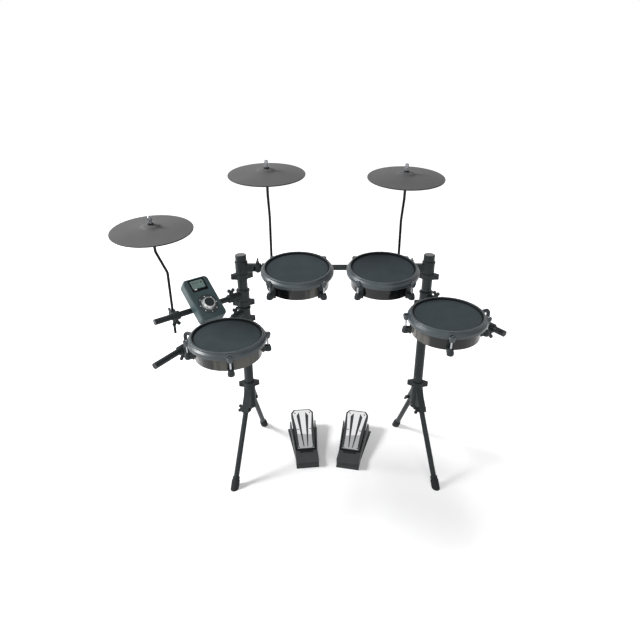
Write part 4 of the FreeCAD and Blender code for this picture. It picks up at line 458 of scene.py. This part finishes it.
def ringed(name, centre):
    """Rubber with moulded rings about a point."""
    material = grained(name, dark=(0.080, 0.080, 0.081), light=(0.104, 0.104, 0.105),
                       roughness=0.55, grain=500, specular=0.15)
    tree = material.node_tree
    rings = tree.nodes.new("ShaderNodeTexWave")
    rings.wave_type = "RINGS"
    rings.rings_direction = "Z"
    rings.inputs["Scale"].default_value = WAVE_AT_UNIT_SCALE / GROOVE_PITCH
    rings.inputs["Distortion"].default_value = GROOVE_WANDER
    tree.links.new(object_place(tree, shift=-centre), rings.inputs["Vector"])
    emboss(tree, rings.outputs["Fac"], GROOVE_BUMP, GROOVE_DEPTH)
    return material


# Near-black rubber: the cymbals' edges, and painted slot shade on the pedal knuckles.
black_rubber_and_slot_shade = grained("black_rubber_and_slot_shade", dark=(0.006, 0.006, 0.006), light=(0.012, 0.012, 0.012),
                      roughness=0.6, grain=500, bump=0.2, specular=0.2)
for name in CYMBALS:
    hub, axis = cymbal_axis(name)
    rubber = ringed(name + "_cymbal_rubber", hub)
    for face in dress(name + "_cymbal", rubber, black_rubber_and_slot_shade).polygons:
        face.material_index = int(face.normal.dot(axis) < EDGE_FACING)

# Sound module case: two moulded halves screwed together around the circuit board, in teal grey.
# A bracket behind it turns on the arm. What lies on its face is placed from the dial's axis.
case_teal = grained("case_teal", dark=(0.038, 0.064, 0.070), light=(0.054, 0.086, 0.093),
                    roughness=0.42, grain=1200, bump=0.2, specular=0.35)
board_green = grained("board_green", dark=(0.01, 0.06, 0.03), light=(0.02, 0.09, 0.045),
                      roughness=0.4, grain=400, bump=0.1)
dress("module_front_case", case_teal)
dress("module_rear_case", case_teal)
dress("module_circuit_board", board_green)
face_out = Vector(joints["dial_turn"]["axis"]).normalized()
face_across = -Vector(joints["module_tilt"]["axis"]).normalized()
face_up = face_out.cross(face_across)
dial_frame = Matrix((face_across, face_up, face_out)).transposed().to_4x4()
dial_frame.translation = Vector(joints["dial_turn"]["pos_m"])

# Display: a smoked window with a grey-green liquid crystal panel behind it, showing plain blocks.
# The window is a clear moulding printed black round its edge and glued into its recess.
WINDOW_ABOVE_DIAL = 0.077
WINDOW_WIDTH = 0.0576
WINDOW_LENGTH = 0.0476
WINDOW_THICKNESS = 0.0019
WINDOW_ROUNDING = 0.0005
WINDOW_BORDER = 0.0065
WINDOW_STRIP = 0.0065
PANEL_STEP = 0.0003
PANEL_DROP = 0.0004
window_black = grained("window_black", dark=(0.006, 0.007, 0.008), light=(0.010, 0.011, 0.012),
                       roughness=0.2, grain=300, specular=0.15)
panel_green = grained("panel_green", dark=(0.180, 0.262, 0.246), light=(0.230, 0.320, 0.300),
                      roughness=0.4, grain=60, specular=0.2)
block_dark = grained("block_dark", dark=(0.020, 0.024, 0.022), light=(0.030, 0.034, 0.032),
                     roughness=0.4, grain=200)
block_pale = grained("block_pale", dark=(0.84, 0.85, 0.84), light=(0.94, 0.95, 0.94),
                     roughness=0.4, grain=200)


def plate_bm(width, length, thickness, rounding):
    """A flat plate with its top at Z = 0 and its upper edges rounded."""
    bm = bmesh.new()
    bmesh.ops.create_cube(bm, size=1)
    bmesh.ops.scale(bm, vec=(width, length, thickness), verts=bm.verts)
    bmesh.ops.translate(bm, vec=(0, 0, -thickness / 2), verts=bm.verts)
    top = [edge for edge in bm.edges if min(vert.co.z for vert in edge.verts) > -thickness / 4]
    bmesh.ops.bevel(bm, geom=top, offset=rounding, segments=3, profile=0.5, affect="EDGES", material=-1)
    return bm


window_frame = dial_frame @ Matrix.Translation((0, WINDOW_ABOVE_DIAL, 0))
window_bm = plate_bm(WINDOW_WIDTH, WINDOW_LENGTH, WINDOW_THICKNESS, WINDOW_ROUNDING)
top_face = max(window_bm.faces, key=lambda face: face.calc_center_median().z)
bmesh.ops.inset_region(window_bm, faces=[top_face], thickness=WINDOW_BORDER, depth=0)
strip = [vert for vert in top_face.verts if vert.co.y < 0]
bmesh.ops.translate(window_bm, vec=(0, WINDOW_STRIP, 0), verts=strip)
bmesh.ops.inset_region(window_bm, faces=[top_face], thickness=PANEL_STEP, depth=-PANEL_DROP)
top_face.material_index = 1
window_bm.transform(window_frame)
window = piece("module_window", window_bm, window_black, panel_green)
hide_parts("module_display")
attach(window, "module")

# Blocks on the display: dark ones lie on the panel, and a pale one and two teal ones on the strip below.
# Each has its place across and up from the window's middle, its width and length, what it lies on
# and its finish.
ON_STRIP, ON_PANEL = range(2)
DARK, PALE, TEAL = range(3)
BLOCK_SINK_SHARE = 0.9
BLOCKS = (
    (-0.0155, -0.0150, 0.0085, 0.0044, ON_STRIP, PALE),
    (-0.0005, -0.0135, 0.0060, 0.0030, ON_STRIP, TEAL),
    (0.0125, -0.0135, 0.0130, 0.0030, ON_STRIP, TEAL),
    (-0.0060, 0.0100, 0.0260, 0.0016, ON_PANEL, DARK),
    (-0.0090, 0.0050, 0.0200, 0.0012, ON_PANEL, DARK),
    (0.0150, 0.0080, 0.0060, 0.0060, ON_PANEL, DARK),
    (0.0000, -0.0040, 0.0380, 0.0008, ON_PANEL, DARK),
)
blocks_bm = bmesh.new()
for across, up, width, length, ground, finish in BLOCKS:
    made = bmesh.ops.create_cube(blocks_bm, size=1)["verts"]
    bmesh.ops.scale(blocks_bm, vec=(width, length, PANEL_DROP / 2), verts=made)
    sink = PANEL_DROP * BLOCK_SINK_SHARE if ground == ON_PANEL else 0
    bmesh.ops.translate(blocks_bm, vec=(across, up, -sink), verts=made)
    for face in {face for vert in made for face in vert.link_faces}:
        face.material_index = finish
blocks_bm.transform(window_frame)
blocks = piece("module_display_blocks", blocks_bm, block_dark, block_pale, case_teal)
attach(blocks, "module")

# Dial: a chromed cup on the encoder shaft with a dark push button in it, over a dark ring.
# Eight pale marks stand round the ring; the cup is cast, plated and pushed on the shaft.
RING_RADIUS = 0.0355
RING_THICKNESS = 0.0005
RING_HOLE = 0.0075
RING_SINK = 0.0002
RING_STEPS = 72
MARK_COUNT = 8
MARK_CIRCLE = 0.0298
MARK_RADIUS = 0.0019
MARK_TOP_SHARE = 0.8
MARK_SIDES = 12
ring_bm = bmesh.new()
start = [ring_bm.verts.new((RING_HOLE, 0, 0)), ring_bm.verts.new((RING_RADIUS - RING_THICKNESS, 0, 0)),
         ring_bm.verts.new((RING_RADIUS, 0, -RING_THICKNESS))]
profile = [ring_bm.edges.new(start[:2]), ring_bm.edges.new(start[1:])]
bmesh.ops.spin(ring_bm, geom=start + profile, cent=(0, 0, 0), axis=(0, 0, 1), angle=math.tau,
               steps=RING_STEPS, use_merge=True)
bmesh.ops.recalc_face_normals(ring_bm, faces=ring_bm.faces)
ring_bm.transform(dial_frame @ Matrix.Translation((0, 0, -RING_SINK)))
dial_ring_dark = grained("dial_ring_dark", dark=(0.014, 0.022, 0.025), light=(0.022, 0.032, 0.036),
                     roughness=0.4, grain=900, bump=0.1)
dial_ring = piece("module_dial_ring", ring_bm, dial_ring_dark)
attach(dial_ring, "module")
marks_bm = bmesh.new()
for index in range(MARK_COUNT):
    made = bmesh.ops.create_cone(marks_bm, cap_ends=True, segments=MARK_SIDES, radius1=MARK_RADIUS,
                                 radius2=MARK_RADIUS * MARK_TOP_SHARE, depth=RING_THICKNESS)["verts"]
    angle = math.tau * index / MARK_COUNT
    place = (MARK_CIRCLE * math.cos(angle), MARK_CIRCLE * math.sin(angle), 0)
    bmesh.ops.translate(marks_bm, vec=place, verts=made)
marks_bm.transform(dial_frame)
dial_marks = piece("module_dial_marks", marks_bm, block_pale)
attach(dial_marks, "module")
dress("module_dial", plated("dial_chrome", colour=(0.85, 0.85, 0.86), roughness=0.32))
dress("module_button", clamp_nylon)

# Pedals: a moulded base and footboard with a brushed aluminium tread plate held by six screws.
# The footboard's knuckle, coloured near-black as painted shade for the slot round it, turns on a
# pin in the heel block, and the board stops on a rubber pad.
KNUCKLE_SHADE_RADIUS = 0.0145
TREAD_BRIGHT = (0.78, 0.78, 0.79)
TREAD_DULL = (0.41, 0.42, 0.43)
TREAD_BRUSHING = (1, 0.05, 1)
TREAD_TONE_CHANGE_SHARE = 0.36
TREAD_TONE_CHANGE_FADE = 0.012
SCREW_PROUD = 0.0004
pedal_black = grained("pedal_black", dark=(0.013, 0.015, 0.016), light=(0.022, 0.025, 0.027),
                      roughness=0.45, grain=1300, bump=0.35, specular=0.4)
screw_black = grained("screw_black", dark=(0.03, 0.03, 0.03), light=(0.05, 0.05, 0.05),
                      roughness=0.4, grain=900, bump=0.1)


def tread_metal(name):
    """Brushed aluminium, duller below a line across the plate and brighter above it."""
    material = plated(name + "_metal", TREAD_BRIGHT, roughness=0.34, grain=900, stretch=TREAD_BRUSHING)
    tree = material.node_tree
    low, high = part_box(name)
    change = low.y + (high.y - low.y) * TREAD_TONE_CHANGE_SHARE
    place = tree.nodes.new("ShaderNodeTexCoord")
    parts = tree.nodes.new("ShaderNodeSeparateXYZ")
    tree.links.new(place.outputs["Object"], parts.inputs["Vector"])
    rise = mapped(tree, parts.outputs["Y"], change - TREAD_TONE_CHANGE_FADE, change + TREAD_TONE_CHANGE_FADE, 0, 1)
    rise.interpolation_type = "SMOOTHSTEP"
    tone = tree.nodes["tone"]
    tone.color_ramp.elements[0].color = (*TREAD_DULL, 1)
    tree.links.new(rise.outputs["Result"], tone.inputs["Fac"])
    return material


dress("pedal_bases", pedal_black)
# Faces round the knuckle get the near-black rubber as painted shade for the slot in the heel block.
for name in ("hi_hat", "kick"):
    hinge = Vector(joints[name + "_pedal"]["pos_m"])
    along = Vector(joints[name + "_pedal"]["axis"]).normalized()
    for face in dress(name + "_board", pedal_black, black_rubber_and_slot_shade).polygons:
        face.material_index = int((face.center - hinge).cross(along).length < KNUCKLE_SHADE_RADIUS)
dress("pedal_bumpers", foot_rubber)
for name in ("hi_hat_plate", "kick_plate"):
    faces = dress(name, tread_metal(name), screw_black).polygons
    tread = max((face for face in faces if face.normal.z > FACING_UP), key=lambda face: face.area)
    for face in faces:
        face.material_index = int((face.center - tread.center).dot(tread.normal) > SCREW_PROUD)
